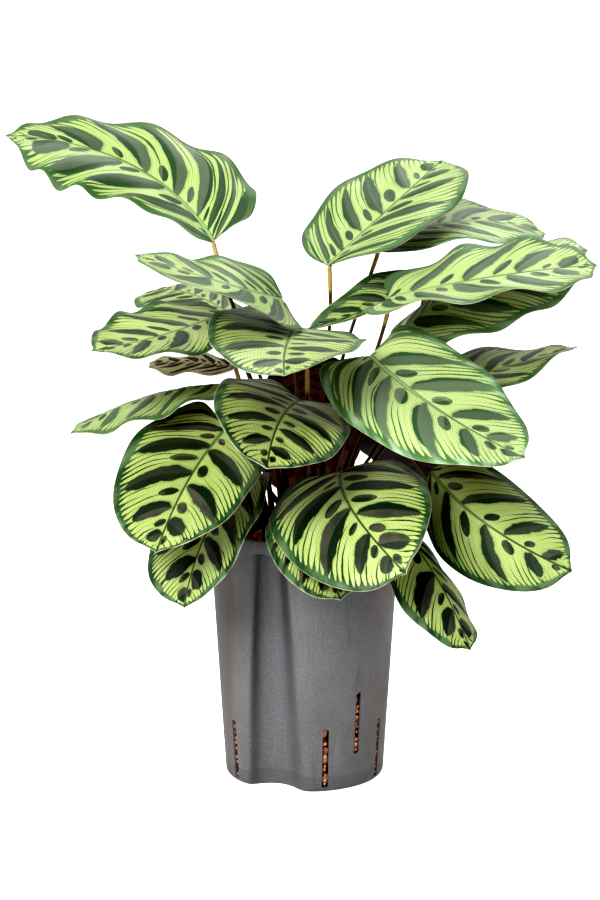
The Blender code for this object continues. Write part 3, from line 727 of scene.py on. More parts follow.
def upper_finish(settings):
    """Upper side of a leaf: light ground, dark marks and streaks, green margin, pale edge. Painted
    sheen and painted light lift the paler leaves, one side of each large mark is painted lit, and
    soft patches of the margin band carry painted reflections.
    """
    finish, tree, shader = new_finish("leaf_upper")
    marks = leaf_marks(tree)
    # Painted sheen and painted light on this leaf, and where they are strongest
    painted_sheen = marks.painted_sheen
    full_painted_sheen = painted_sheen.eased(0.85, 1.0)
    cloud = leaf_cloud(marks, 5.0)
    tone = chance(marks.seed, 0.0, 3.0)[0]
    ground = layered(
        settings.ground_colour,
        (cloud.scaled(0.3, 0.7), GROUND_CLOUD),
        (tone * 0.5, GROUND_YELLOW),
        (painted_sheen * 0.7, GROUND_PAINTED_SHEEN),
        (full_painted_sheen * 0.8, GROUND_FULL_PAINTED_SHEEN),
        (marks.fine * 0.6, FINE_VEIN),
        (marks.hatch * 0.45, CROSS_VEIN),
        (marks.fringe * 0.45, FRINGE),
    )
    # Painted light on the lit side of each large mark, lifted further by the painted sheen
    pale = layered(
        MARK_LIT,
        (cloud.scaled(0.35, 0.65), MARK_CLOUD),
        (painted_sheen, MARK_LIT_PAINTED_SHEEN),
        (full_painted_sheen, MARK_LIT_FULL_PAINTED_SHEEN),
    )
    lit_side = (marks.side + painted_sheen * 0.11).eased(-0.02, 0.02) * marks.paler.spread(0.2, 1.0)
    mark = mixed(lit_side, mixed(painted_sheen, settings.mark_colour, MARK_PAINTED_SHEEN), pale)
    # Margin band with painted sheen, and painted reflections in its soft patches
    margin = layered(
        settings.margin_colour,
        (painted_sheen, MARGIN_PAINTED_SHEEN),
        (marks.soft.eased(0.42, 0.62), mixed(full_painted_sheen, MARGIN_PAINTED_REFLECTION, MARGIN_FULL_PAINTED_REFLECTION)),
    )
    near_margin = marks.share.eased(0.80, 0.94)
    green_rib = mixed(marks.along.eased(0.1, 0.7), RIB_BASE, RIB_END)
    # Midrib paled by the painted sheen
    pale_rib = mixed(marks.along.eased(0.1, 0.8), RIB_BASE_PAINTED_SHEEN, RIB_END_PAINTED_SHEEN)
    leaf = layered(
        ground,
        (marks.lines, mixed(near_margin, mixed(painted_sheen, STREAK, STREAK_PAINTED_SHEEN), margin)),
        (marks.band, margin),
        (marks.marks, mixed(near_margin * 0.6, mark, margin)),
        (marks.rib_side * 0.8, mixed(painted_sheen, RIB_SHADE, RIB_SHADE_PAINTED_SHEEN)),
        (marks.rib, mixed(painted_sheen, green_rib, pale_rib)),
        (marks.edge * 0.85, settings.edge_colour),
    )
    set_inputs(shader, {"Base Color": leaf, "Roughness": cloud.scaled(0.3, 0.7, 0.34, 0.48),
                        "Specular IOR Level": 0.3, "Normal": leaf_bump(tree, marks)})
    return finish


def under_finish(settings):
    """Under side of a leaf: dark maroon, with cream and brown stripes where the leaf is pale. The
    deep maroon all over the leaves behind the stalks is painted shade, and the bright cream is
    partly painted light.
    """
    finish, tree, shader = new_finish("leaf_under")
    marks = leaf_marks(tree)
    tone = marks.tone
    cloud = leaf_cloud(marks, 6.0).scaled(0.3, 0.7)
    ground = layered(
        UNDER_BROWN,
        (cloud, UNDER_CLOUD),
        (tone.eased(0.5, 1.0), settings.under_light),
        (marks.fine * 0.4, UNDER_VEIN),
    )
    # Painted shade: leaves of the lowest tone, behind the stalks, go deep maroon all over, their
    # marks darkest
    ground = mixed(tone.eased(0.0, 0.5), UNDER_DEEP, ground)
    dark = mixed(cloud, settings.under_dark, UNDER_DARK_CLOUD)
    dark = mixed(tone.eased(0.0, 0.3), UNDER_DARKEST, dark)
    thin = most(marks.lines, marks.band) * tone.eased(0.6, 1.0, 1.0, 0.25)
    leaf = layered(
        ground,
        (most(marks.marks, thin) * 0.95, dark),
        (marks.rib, mixed(tone, UNDER_RIB_DARK, UNDER_RIB)),
        (marks.edge * 0.8, settings.edge_colour),
    )
    set_inputs(shader, {"Base Color": leaf, "Roughness": 0.6, "Specular IOR Level": 0.25,
                        "Normal": leaf_bump(tree, marks)})
    return finish


# Leaves


def vein_along(row, share):
    """Where a place's vein leaves the midrib, as a share of the midrib's length."""
    along = row**VEIN_SLANT
    return along - (SWEEP[0] * share + SWEEP[1] * share**SWEEP_POWER) * (1 - along)


def mark_place(along, roots):
    """Place along the midrib counted in large marks, so that each mark is at a whole number."""
    first, last = roots[1] - roots[0], roots[-1] - roots[-2]
    stops = [roots[0] - 2 * first, *roots, roots[-1] + 2 * last]
    return np.interp(along, stops, [-2, *range(len(roots)), len(roots) + 1])


def leaf_relief(leaf, row, column, from_rib, settings):
    """How far the upper and the lower face stand off the middle surface."""
    share = np.abs(column)
    right, left = MARKS.get(leaf.name, USUAL_MARKS)
    along = vein_along(row, share)
    place = np.where(column > 0, mark_place(along, right), mark_place(along, left))
    half = settings.thickness / MM / 2 * (1 - MARGIN_THINNING * share**6)
    fold = settings.fold_height / MM * (1 - 2 * np.abs(np.sin(math.pi * place)))
    fold = fold * np.clip(share * 4, 0, 1) * (1 - share**3)
    groove = GROOVE_DEPTH * np.exp(-(from_rib / GROOVE_HALF) ** 2) * (1 - 0.7 * row)
    rib = settings.rib_depth / MM * (1 - 0.8 * row) * np.exp(-(from_rib / RIB_SPREAD) ** 2)
    return half + fold - groove, half - fold + rib


def leaf_quads(rows, columns, tip):
    """Faces of a grid of rows by columns whose last row runs on to one tip point."""
    faces = []
    for i in range(rows - 1):
        for j in range(columns - 1):
            a = i * columns + j
            faces.append((a, a + 1, a + columns + 1, a + columns))
    last = (rows - 1) * columns
    return faces + [(last + j, last + j + 1, tip) for j in range(columns - 1)]


def rim_of(rows, columns, tip):
    """The blade's margin as a closed run of point numbers, from the stalk round by the tip."""
    left = [i * columns for i in range(rows)]
    right = [i * columns + columns - 1 for i in range(rows)]
    return [*left, tip, *right[::-1], *range(columns - 2, 0, -1)]


def half_values(leaf, index, half, row, column):
    """What the pattern reads at each point of the right (0) or the left (1) half."""
    share = np.abs(column)
    place = mark_place(vein_along(row, share), MARKS.get(leaf.name, USUAL_MARKS)[half])
    seed = np.full(row.shape, index * 2.0 + half)
    return np.stack([place, share, seed], axis=-1).reshape(-1, 3)


def read_all(items, name):
    """One whole number of every item of a mesh, as an array."""
    values = np.zeros(len(items), np.int64)
    items.foreach_get(name, values)
    return values


def store(mesh, name, values, domain="CORNER", kind="FLOAT_VECTOR"):
    """Write one value for each corner or point of a mesh."""
    layer = mesh.attributes.new(name, kind, domain)
    field = "vector" if kind == "FLOAT_VECTOR" else "value"
    layer.data.foreach_set(field, np.ascontiguousarray(values, np.float32).ravel())


def leaf_piece(leaf, index, settings):
    """One leaf blade: upper and under side, rim, rib, groove and the values of its pattern."""
    rows = np.linspace(0, 1, BLADE_ROWS + 1)[:-1]
    half_columns = (np.arange(1, HALF_COLUMNS + 1) / HALF_COLUMNS) ** COLUMN_CROWDING
    columns = np.concatenate([-half_columns[::-1], [0.0], half_columns])
    middle = blade_surface(leaf, rows, columns)
    normals = surface_normals(middle)
    row, column = np.meshgrid(rows, columns, indexing="ij")
    local_half = oval(row, leaf, column > 0)[1] * leaf.width / 2
    from_rib = np.abs(column) * local_half
    from_edge = (1 - np.abs(column)) * local_half
    up, down = leaf_relief(leaf, row, column, from_rib, settings)
    tip = np.array(leaf.tip, float)
    tip_half = unit(normals[-1].mean(axis=0)) * (settings.thickness / MM / 4)
    upper = np.vstack([(middle + normals * up[..., None]).reshape(-1, 3), tip + tip_half])
    lower = np.vstack([(middle - normals * down[..., None]).reshape(-1, 3), tip - tip_half])
    count = len(upper)
    grid = leaf_quads(len(rows), len(columns), count - 1)
    rim = rim_of(len(rows), len(columns), count - 1)
    faces = grid + [tuple(p + count for p in reversed(face)) for face in grid]
    faces += [(p, q, q + count, p + count) for p, q in zip(rim, rim[1:] + rim[:1])]
    piece = new_piece("leaf_" + leaf.name, np.vstack([upper, lower]), faces)
    mesh = piece.data
    right = half_values(leaf, index, 0, row, column)
    left = half_values(leaf, index, 1, row, column)
    veins = np.stack([vein_along(row, np.abs(column)), from_rib, from_edge], axis=-1)
    right = np.vstack([right, right[-1]])
    left = np.vstack([left, left[0 - len(columns)]])
    veins = np.vstack([veins.reshape(-1, 3), [[1.0, 0.0, 0.0]]])
    points = read_all(mesh.loops, "vertex_index")
    across = np.append(column.reshape(-1), 0.0)
    centre = np.add.reduceat(across[points % count], read_all(mesh.polygons, "loop_start"))
    is_right = np.repeat(centre > 0, read_all(mesh.polygons, "loop_total"))[:, None]
    store(mesh, "marks", np.where(is_right, right[points % count], left[points % count]))
    store(mesh, "veins", veins[points % count])
    store(mesh, "tones", np.tile(TONES.get(leaf.name, USUAL_TONES), (len(points), 1)))
    first_rim = mesh.polygons[2 * len(grid)].loop_start
    bake_map(mesh, points, first_rim, (across + 1) / 2, np.append(row.reshape(-1), 1.0))
    under = np.zeros(len(mesh.polygons), np.int32)
    under[len(grid):2 * len(grid)] = 1
    return piece, under


def bake_map(mesh, points, first_rim, across, down):
    """Flat layout of the blade: upper side on the left half, under side on the right."""
    under = points >= len(across)
    points = points % len(across)
    rim = np.arange(len(points)) >= first_rim
    outward = np.where(across[points] > 0.5, 1, -1)
    base = rim & (down[points] == 0) & (np.abs(across[points] - 0.5) < 0.499)
    over = MAP_LEFT + MAP_WIDTH * across[points]
    beside = over + np.where(under, outward * 0.006, outward * 0.001)
    u = np.where(rim, np.where(base, over, beside), over + np.where(under, MAP_UNDER, 0.0))
    v = np.where(base & under, 0.004, 0.01 + 0.97 * down[points])
    layer = mesh.uv_layers.new(name="OFBake", do_init=False)
    layer.uv.foreach_set("vector", np.stack([u, v], axis=-1).astype(np.float32).ravel())


# Leaf stalks


def cubic(start, rise, settle, end, t):
    """Point on the curve with these four control points."""
    u = 1 - t
    return start * u**3 + rise * 3 * u * u * t + settle * 3 * u * t * t + end * t**3


def stalk_path(leaf):
    """Points up the stalk, from its foot in the granules, and on into the blade's rib."""
    base = Vector(leaf.base)
    ahead = Vector(midrib(leaf, np.array([0.0]))[1][0])
    face = Vector(np.cross(blade_frame(leaf)[3], ahead))
    outward = Vector((ahead.x, ahead.y, 0))
    down = (Vector((0, 0, -1)) - outward * leaf.lean).normalized()
    tilt = math.sqrt(max(0.0, 1 - down.dot(face) ** 2))
    seat = RIB_DEPTH + BLADE_THICKNESS / 2 + SEAT_GAP + STALK_RADIUS * tilt
    end = base - face * seat
    start = Vector((leaf.foot[0], leaf.foot[1], GRANULE_TOP - HOLE_DEPTH + GAP))
    rise = start + Vector((0, 0, max((end.z - start.z) * 0.5, LEAST_UPRIGHT)))
    settle = end + down * (end - start).length * 0.35
    points = [cubic(start, rise, settle, end, t) for t in np.linspace(0, 0.985, STALK_RINGS)]
    last = base - face * (BLADE_THICKNESS / 2 + RIB_DEPTH * 0.4)
    here = points[-1]
    bow = here + (here - points[-2]).normalized() * 1.5
    for t in (0.25, 0.5, 0.75, 1.0):
        points.append(cubic(here, bow, last - ahead * 0.5, last + ahead * 4.5, t))
    return points


def stalk_radius(run, whole, settings):
    """Radius at a distance along the stalk: a sheath at the foot and a swollen joint on top."""
    plain = settings.stalk_radius / MM
    joint = settings.joint_length / MM
    from_top = whole - run
    radius = plain + (settings.sheath_radius / MM - plain) * max(0.0, 1 - run / whole / 0.5)
    swell = math.exp(-((from_top - joint * 0.5) / (joint * 0.45)) ** 4)
    radius += (settings.joint_radius / MM - plain + 0.12) * swell
    if from_top < STALK_TAPER:
        radius *= 0.35 + 0.65 * from_top / STALK_TAPER
    return radius


def tube_faces(rings, sides):
    """Faces of a closed tube of point rings, with both ends filled."""
    faces = []
    for k in range(rings - 1):
        for n in range(sides):
            a, b = k * sides + n, k * sides + (n + 1) % sides
            faces.append((a, b, b + sides, a + sides))
    last = (rings - 1) * sides
    return faces + [tuple(range(sides))[::-1], tuple(range(last, last + sides))]


def stalk_piece(leaf, settings):
    """One leaf stalk as a closed tapering tube that runs up into its blade."""
    path = stalk_path(leaf)
    runs = [0.0]
    for before, after in zip(path, path[1:]):
        runs.append(runs[-1] + (after - before).length)
    whole = runs[-1]
    points, values = [], []
    side = Vector((1, 0, 0))
    for k, place in enumerate(path):
        heading = (path[min(k + 1, len(path) - 1)] - path[max(k - 1, 0)]).normalized()
        side = (side - heading * side.dot(heading)).normalized()
        other = heading.cross(side)
        radius = stalk_radius(runs[k], whole, settings)
        flat = 1 + 0.25 * max(0.0, 1 - runs[k] / whole / 0.4)
        for n in range(STALK_SIDES):
            turn = 2 * math.pi * n / STALK_SIDES
            reach = side * math.cos(turn) * flat + other * math.sin(turn) / flat
            points.append(place + reach * radius)
            values.append((runs[k] / whole, whole - runs[k], n / STALK_SIDES))
    faces = tube_faces(len(path), STALK_SIDES)
    piece = new_piece("petiole_" + leaf.name, [tuple(p) for p in points], faces)
    store(piece.data, "run", values, "POINT")
    return piece


def stalk_finish(settings):
    """Leaf stalk: maroon sheath at the foot, dark brown above, tan joint under the blade."""
    finish, tree, shader = new_finish("petiole")
    share, from_top, _ = parted(mesh_value(tree, "run"))
    grain = noise(place_on(tree), 260.0, 3.0)
    joint = from_top.fading(20.0, 25.0)
    up = share.eased(0.1, 0.6)
    colour = layered(
        settings.sheath_colour,
        (up, settings.stalk_colour),
        (joint, settings.joint_colour),
        (grain.scaled(0.35, 0.7) * (0.6 - joint * 0.35), mixed(up, SHEATH_STREAK, STALK_STREAK)),
    )
    set_inputs(shader, {"Base Color": colour, "Roughness": 0.42, "Specular IOR Level": 0.3,
                        "Normal": raised(grain, STALK_BUMP)})
    return finish


# Pot


def side_radius(height):
    """Outer radius of the pot's tapering side at a height, with the rounded foot."""
    if height < FOOT_ROUND:
        drop = FOOT_ROUND - height
        return FOOT_RADIUS - FOOT_ROUND + math.sqrt(max(0.0, FOOT_ROUND**2 - drop**2))
    climb = (height - FOOT_ROUND) / (POT_HEIGHT - FOOT_ROUND)
    return FOOT_RADIUS + (RIM_RADIUS - FOOT_RADIUS) * climb


def cut_corners(path, times):
    """A polyline with its corners cut again and again into a smooth curve."""
    for _ in range(times):
        smoother = [path[0]]
        for a, b in zip(path, path[1:]):
            smoother += [a + (b - a) * 0.25, a + (b - a) * 0.75]
        path = [*smoother, path[-1]]
    return path


def crossing(a, b, radius):
    """Where the line from a to b meets the circle."""
    low, high = 0.0, 1.0
    a_inside = np.hypot(*a) < radius
    for _ in range(30):
        middle = (low + high) / 2
        if (np.hypot(*(a + (b - a) * middle)) < radius) == a_inside:
            low = middle
        else:
            high = middle
    return a + (b - a) * low


def recess_path(height, inset, radius):
    """The recess's wall in plan at a height, from the circle's left crossing to its right."""
    climb = max(0.0, (height - RECESS_STRAIGHT) / (RECESS_TOP - RECESS_STRAIGHT))
    foot, band = np.array(RECESS_FOOT), np.array(RECESS_BAND)
    rough = foot + (band - foot) * climb
    pushed = []
    for k, point in enumerate(rough):
        along = unit(rough[min(k + 1, len(rough) - 1)] - rough[max(k - 1, 0)])
        pushed.append(point + np.array((-along[1], along[0])) * inset)
    path = cut_corners(pushed, 3)
    inside = [k for k, p in enumerate(path) if np.hypot(*p) < radius]
    first, last = inside[0], inside[-1]
    start = crossing(path[first - 1], path[first], radius)
    end = crossing(path[last], path[last + 1], radius)
    return [start, *path[first:last + 1], end]


def even_steps(path, count):
    """The polyline as a number of evenly spaced points, its two ends left out."""
    path = np.array(path)
    run = np.concatenate([[0], np.cumsum(np.linalg.norm(np.diff(path, axis=0), axis=1))])
    at = np.linspace(0, run[-1], count + 2)[1:-1]
    return np.stack([np.interp(at, run, path[:, 0]), np.interp(at, run, path[:, 1])], axis=1)


def softened(loop, softness):
    """A closed loop of points with its corners rounded."""
    reach = int(math.ceil(softness * 3))
    steps = np.arange(-reach, reach + 1)
    weights = np.exp(-(steps / softness) ** 2 / 2)
    weights /= weights.sum()
    return sum(np.roll(loop, step, axis=0) * weight for step, weight in zip(steps, weights))


def arc(radius, turns):
    """Points on a circle at these angles."""
    return np.stack([radius * np.cos(turns), radius * np.sin(turns)], axis=1)


def pot_outline(height, inset=0, with_recess=True, radius=None):
    """Plan outline of the pot at a height, as a closed loop of points."""
    if radius is None:
        radius = side_radius(height) - inset
    path = recess_path(min(height, RECESS_TOP), inset, radius)
    left = math.atan2(path[0][1], path[0][0])
    right = math.atan2(path[-1][1], path[-1][0])
    whole = arc(radius, np.linspace(right, left + 2 * math.pi, ARC_POINTS))
    if with_recess:
        gap = even_steps(path, RECESS_POINTS)
        loop = softened(np.vstack([whole, gap]), SHOULDER_SOFTNESS)
    else:
        gap = arc(radius, np.linspace(left, right, RECESS_POINTS + 2)[1:-1])
        loop = np.vstack([whole, gap])
    return np.column_stack([loop, np.full(len(loop), height)])


def pot_loops(lip):
    """The pot's outlines from the middle of its foot, up the outside and down the inside."""
    foot = [FOOT_ROUND - FOOT_ROUND * math.cos(math.radians(turn)) for turn in range(0, 91, 15)]
    side = np.linspace(FOOT_ROUND + 6, RECESS_TOP - 0.6, 26)
    loops = [pot_outline(height) for height in (*foot, *side, RECESS_TOP - 0.1)]
    ledge = pot_outline(RECESS_TOP)
    plain = pot_outline(RECESS_TOP, with_recess=False)
    loops += [ledge, ledge * 0.06 + plain * 0.94 + (0, 0, 0.02), plain + (0, 0, 0.5)]
    for height in (184.5, 187.5, POT_HEIGHT - lip):
        loops.append(pot_outline(height, with_recess=False))
    for degrees in range(30, 181, 30):
        turn = math.radians(degrees)
        height = POT_HEIGHT - lip + lip * math.sin(turn)
        loops.append(pot_outline(height, lip * (1 - math.cos(turn)), with_recess=False))
    top = RECESS_TOP + POT_WALL
    for height in (188.0, top + 0.4):
        loops.append(pot_outline(height, POT_WALL, with_recess=False))
    shelf = pot_outline(top, POT_WALL)
    flat = pot_outline(top, POT_WALL, with_recess=False)
    loops += [shelf * 0.05 + flat * 0.95, shelf]
    for height in np.linspace(RECESS_TOP - 1, POT_FLOOR + 4, 16):
        loops.append(pot_outline(height, POT_WALL))
    loops.append(pot_outline(POT_FLOOR, POT_WALL + 3, radius=side_radius(5) - POT_WALL - 3))
    return loops


def loft(name, loops):
    """A closed solid through outlines of equal count, with both end outlines filled."""
    piece = new_piece(name, np.vstack(loops), tube_faces(len(loops), len(loops[0])))
    face_outward(piece)
    return piece


def slot_angles():
    """(degrees from the front toward +X, foot and length) of every slot clear of the recess."""
    spots = []
    for k in range(SLOT_COUNT):
        degrees = SLOT_FIRST + SLOT_PITCH * k
        if not RECESS_SECTOR[0] < degrees < RECESS_SECTOR[1]:
            spots.append((degrees, LOW_SLOT if k % 2 == 0 else HIGH_SLOT))
    return spots


def slot_cutters():
    """Bars with a rounded top that cut all the slots, as one mesh."""
    points, faces = [], []
    half = SLOT_WIDTH / 2
    for degrees, (foot, length) in slot_angles():
        top = foot + length - half
        section = [(half - 0.5, foot), (half, foot + 0.5)]
        section += [(half * math.cos(math.radians(a)), top + half * math.sin(math.radians(a)))
                    for a in range(0, 181, 15)]
        section += [(-half, foot + 0.5), (-half + 0.5, foot)]
        turn = Matrix.Rotation(math.radians(degrees), 4, "Z")
        first, count = len(points), len(section)
        near = list(range(first, first + count))
        points += [tuple(turn @ Vector((x, -reach, z))) for reach in (50, 80) for x, z in section]
        faces += [tuple(near), tuple(n + count for n in reversed(near))]
        faces += [(m, n, n + count, m + count) for n, m in zip(near, near[1:] + near[:1])]
    cutter = new_piece("slot_cutters", points, faces)
    face_outward(cutter)
    return cutter


def cut_away(piece, cutter):
    """Apply one exact boolean difference and drop the cutter."""
    change = piece.modifiers.new("slots", "BOOLEAN")
    change.operation = "DIFFERENCE"
    change.solver = "EXACT"
    change.object = cutter
    graph = bpy.context.evaluated_depsgraph_get()
    result = bpy.data.meshes.new_from_object(piece.evaluated_get(graph))
    piece.modifiers.clear()
    piece.data = result
    bpy.data.objects.remove(cutter, do_unlink=True)


def recess_shade(x, y, z):
    """Painted shade in the recess's two inner corners, deepest under the rim band."""
    left = x.eased(-0.0420, -0.0395) * x.fading(-0.0375, -0.0300)
    from_right = x - z * -0.055
    right = from_right.eased(-0.0110, -0.0070) * from_right.fading(-0.0050, -0.0015) * 0.6
    inside = (x * x + y * y).eased(0.0044, 0.0038)
    return most(left, right) * inside * (y < 0.0) * z.eased(0.03, 0.18, 0.25, 0.85)


def pot_finish(settings):
    """Charcoal plastic with fine speckle, clouding, drips, scuffs and a darker foot, with painted
    reflection on its left and right sides and painted shade on its left side and in the recess.
    """
    finish, tree, shader = new_finish("pot_plastic_worn")
    place = place_on(tree)
    x, y, z = parted(place)
    speckle = noise(place, 1500.0, 2.0, 0.7)
    cloud = noise(place, 14.0, 4.0, 0.6)
    drips = noise(joined(x * 9.0, y * 9.0, z), 14.0, 4.0, 0.6)
    scuffs = noise(joined(x * 3.0, y * 3.0, z * 60.0), 30.0, 3.0, 0.7)
    colour = layered(
        settings.plastic_colour,
        (speckle.scaled(0.38, 0.62), PLASTIC_SPECK),
        # Painted reflection, warm and paler, on the pot's left and right sides
        (abs(x).eased(0.032, 0.070, 0.0, 0.5), PLASTIC_SIDE_REFLECTION),
        # Painted shade on the pot's left side
        (x.eased(-0.050, -0.058, 0.0, 0.55), PLASTIC_LEFT_SHADE),
        (cloud.scaled(0.40, 0.70, 0.0, 0.45), PLASTIC_CLOUD),
        (drips.scaled(0.58, 0.75, 0.0, 0.45), DARK_DRIP),
        (drips.scaled(0.40, 0.28, 0.0, 0.3), PALE_DRIP),
        (scuffs.scaled(0.62, 0.70, 0.0, 0.7) * z.fading(0.015, 0.09), SCUFF),
        # Painted shade in the recess's inner corners
        (recess_shade(x, y, z), RECESS_PAINTED_SHADE),
        (z.eased(0.011, 0.0135, 0.40, 0.0), POT_FOOT),
    )
    set_inputs(shader, {"Base Color": colour, "Roughness": cloud.scaled(0.3, 0.7, 0.42, 0.58),
                        "Normal": raised(speckle, POT_BUMP)})
    return finish


# Clay granules


def ball(fineness):
    """Points and faces of a ball of radius one."""
    body = bmesh.new()
    bmesh.ops.create_icosphere(body, subdivisions=fineness, radius=1.0)
    points = np.array([v.co[:] for v in body.verts])
    faces = [tuple(v.index for v in f.verts) for f in body.faces]
    body.free()
    return points, faces


def in_recess(x, y):
    """Whether a place is within the recess's sector, in front of its back wall."""
    return RECESS_LEFT < x < RECESS_RIGHT and y < RECESS_BACK


def pebbles_on_top(draw, settings):
    """(x, y, z, radius) of the pebbles that cover the fill, clear of the wall and the stalks."""
    loop = pot_outline(GRANULE_TOP, POT_WALL + GAP)[:, :2]
    feet = [leaf.foot for leaf in LEAVES]
    placed = []
    for k in range(PEBBLE_TRIES):
        large = settings.largest_pebble / MM - SHRINKING * (k / PEBBLE_TRIES)
        radius = draw.uniform(settings.smallest_pebble / MM, large)
        reach = (side_radius(GRANULE_TOP) - POT_WALL - GAP - radius) * math.sqrt(draw.random())
        turn = draw.uniform(0, 2 * math.pi)
        x, y = reach * math.cos(turn), reach * math.sin(turn)
        z = GRANULE_TOP - radius * 0.3 + draw.uniform(-2.0, 1.0)
        if k >= PEBBLE_TRIES * UPPER_SHARE:
            z -= LOWER_LAYER
        if min((x - fx) ** 2 + (y - fy) ** 2 for fx, fy in feet) < (radius + STALK_ROOM) ** 2:
            continue
        if np.min(np.hypot(loop[:, 0] - x, loop[:, 1] - y)) < radius or in_recess(x, y):
            continue
        if any((x - p[0]) ** 2 + (y - p[1]) ** 2 + (z - p[2]) ** 2
               < (CLOSENESS * (radius + p[3])) ** 2 for p in placed):
            continue
        placed.append((x, y, z, radius))
    return placed


def slot_place(turn, reach, shift):
    """x and y of a place in a slot: how far out it is and how far to the slot's side."""
    return (reach * math.sin(turn) + shift * math.cos(turn),
            -reach * math.cos(turn) + shift * math.sin(turn))


def pebbles_in_slots(draw):
    """(x, y, z, radius) of the pebbles that show through the slots."""
    placed = []
    for degrees, (foot, length) in slot_angles():
        height = foot + 2
        while height < foot + length + 2:
            radius = draw.uniform(*SLOT_PEBBLE)
            height += radius * 0.85
            reach = side_radius(max(height, 6)) - POT_WALL - GAP - radius
            x, y = slot_place(math.radians(degrees), reach, draw.uniform(-1.6, 1.6))
            placed.append((x, y, max(height, radius + POT_FLOOR + 1), radius))
            height += radius * 0.85
    return placed


def chips_in_slots(draw):
    """(x, y, z, radius) of the chips of clay that lie in the slots themselves."""
    placed = []
    for degrees, (foot, length) in slot_angles():
        height = foot + 2.5
        while height < foot + length - 1:
            radius = draw.uniform(*CHIP)
            reach = side_radius(max(height, 6)) - POT_WALL * draw.uniform(0.95, 1.2)
            shift = draw.uniform(-0.5, 0.5) * (1.9 - radius)
            placed.append((*slot_place(math.radians(degrees), reach, shift), height, radius))
            height += radius * draw.uniform(*CHIP_STEP)
            if draw.random() < WIDE_STEP_CHANCE:
                height += draw.uniform(*WIDE_STEP)
    return placed


def lumpy(points, draw):
    """A unit pebble squashed, turned and dented."""
    shape = points.copy()
    swell = np.ones(len(shape))
    for _ in range(LUMPS):
        way = unit(np.array([draw.gauss(0, 1) for _ in range(3)]))
        sharp = draw.uniform(1.5, 4.0)
        swell += draw.uniform(-0.07, 0.06) * np.cos(sharp * (shape @ way) + draw.uniform(0, 6))
    shape = shape * swell[:, None]
    shape *= (draw.uniform(0.88, 1.08), draw.uniform(0.84, 1.04), draw.uniform(0.74, 0.95))
    spin = Matrix.Rotation(draw.uniform(0, 6.3), 3, "Z")
    tip = Matrix.Rotation(draw.uniform(-0.7, 0.7), 3, "X")
    return shape @ np.array(spin @ tip).T


def fill_bed():
    """Loops of the fill under the pebbles, which the clay finish paints near black as shade."""
    loops = [pot_outline(POT_FLOOR + GAP, POT_WALL + BED_INSET, radius=side_radius(6) - 9)]
    for height in np.linspace(POT_FLOOR + 4, BED_TOP, 12):
        loops.append(pot_outline(height, POT_WALL + BED_INSET))
    return loops


def granule_piece(settings):
    """The fill as one piece: a bed painted near black as shade, pebbles on top of it and behind
    each slot.
    """
    draw = random.Random(SEED)
    bed = loft("bed", fill_bed())
    points = [np.array([v.co[:] for v in bed.data.vertices]) / MM]
    faces = [tuple(p.vertices) for p in bed.data.polygons]
    grains = [np.zeros(len(points[0]))]
    bpy.data.objects.remove(bed, do_unlink=True)
    total = len(points[0])
    pebbles = pebbles_on_top(draw, settings) + pebbles_in_slots(draw)
    for fineness, places in ((3, pebbles), (2, chips_in_slots(draw))):
        ball_points, ball_faces = ball(fineness)
        for x, y, z, radius in places:
            points.append(lumpy(ball_points, draw) * radius + (x, y, z))
            faces += [tuple(n + total for n in face) for face in ball_faces]
            grains.append(np.full(len(ball_points), draw.uniform(0.1, 1.0)))
            total += len(ball_points)
    piece = new_piece("clay_granules", np.vstack(points), faces)
    store(piece.data, "grain", np.concatenate(grains), "POINT", "FLOAT")
    return piece


def clay_finish(settings):
    """Unglazed expanded clay: orange-brown skin with pits, pale patches of painted highlight, and
    the bed in the gaps painted near black as shade.
    """
    finish, tree, shader = new_finish("expanded_clay")
    grain = mesh_value(tree, "grain", "Fac")
    pits = noise(place_on(tree), 1100.0, 3.0, 0.7)
    highlight_patch = noise(place_on(tree), 160.0, 4.0, 0.6)
    colour = layered(
        CLAY_CORE,
        (grain, settings.clay_colour),
        # Painted highlights in pale patches
        (highlight_patch.scaled(0.42, 0.60, 0.0, 0.85), CLAY_HIGHLIGHT),
        (pits.scaled(0.52, 0.66, 0.0, 0.75), CLAY_PIT),
        # Painted shade: the bed between the pebbles goes near black
        (grain.fading(0.02, 0.08), CLAY_GAP_SHADE),
    )
    set_inputs(shader, {"Base Color": colour, "Roughness": 0.9,
                        "Normal": raised(pits, CLAY_BUMP, 0.8)})
    return finish


# Stage


def soft_light(name, place, goal, size, power):
    """A square white area light that points at a goal."""
    lamp = bpy.data.lights.new(name, "AREA")
    lamp.size = size
    lamp.energy = power
    light = bpy.data.objects.new(name, lamp)
    light.location = place
    light.rotation_euler = (Vector(goal) - Vector(place)).to_track_quat("-Z", "Y").to_euler()
    bpy.context.scene.collection.objects.link(light)


def photo_camera():
    """The camera at the photograph's place and angle."""
    data = bpy.data.cameras.new("photo_camera")
    data.lens = LENS
    data.sensor_width = 36.0
    data.sensor_fit = "AUTO"
    camera = bpy.data.objects.new("photo_camera", data)
    camera.location = CAMERA_PLACE
    camera.rotation_euler = (math.radians(90 - CAMERA_DIP), 0, 0)
    bpy.context.scene.collection.objects.link(camera)
    bpy.context.scene.camera = camera


def floor_piece(settings):
    """A plain white floor that runs on past the view and looks white in the shade too."""
    floor = new_piece("floor", FLOOR, [(0, 1, 2, 3)])
    finish, tree, shader = new_finish("white_floor")
    set_inputs(shader, {"Base Color": settings.floor_colour, "Roughness": 0.9,
                        "Emission Color": WHITE,
                        "Emission Strength": camera_sees(tree) * settings.floor_lift})
    floor.data.materials.append(finish)
    return floor


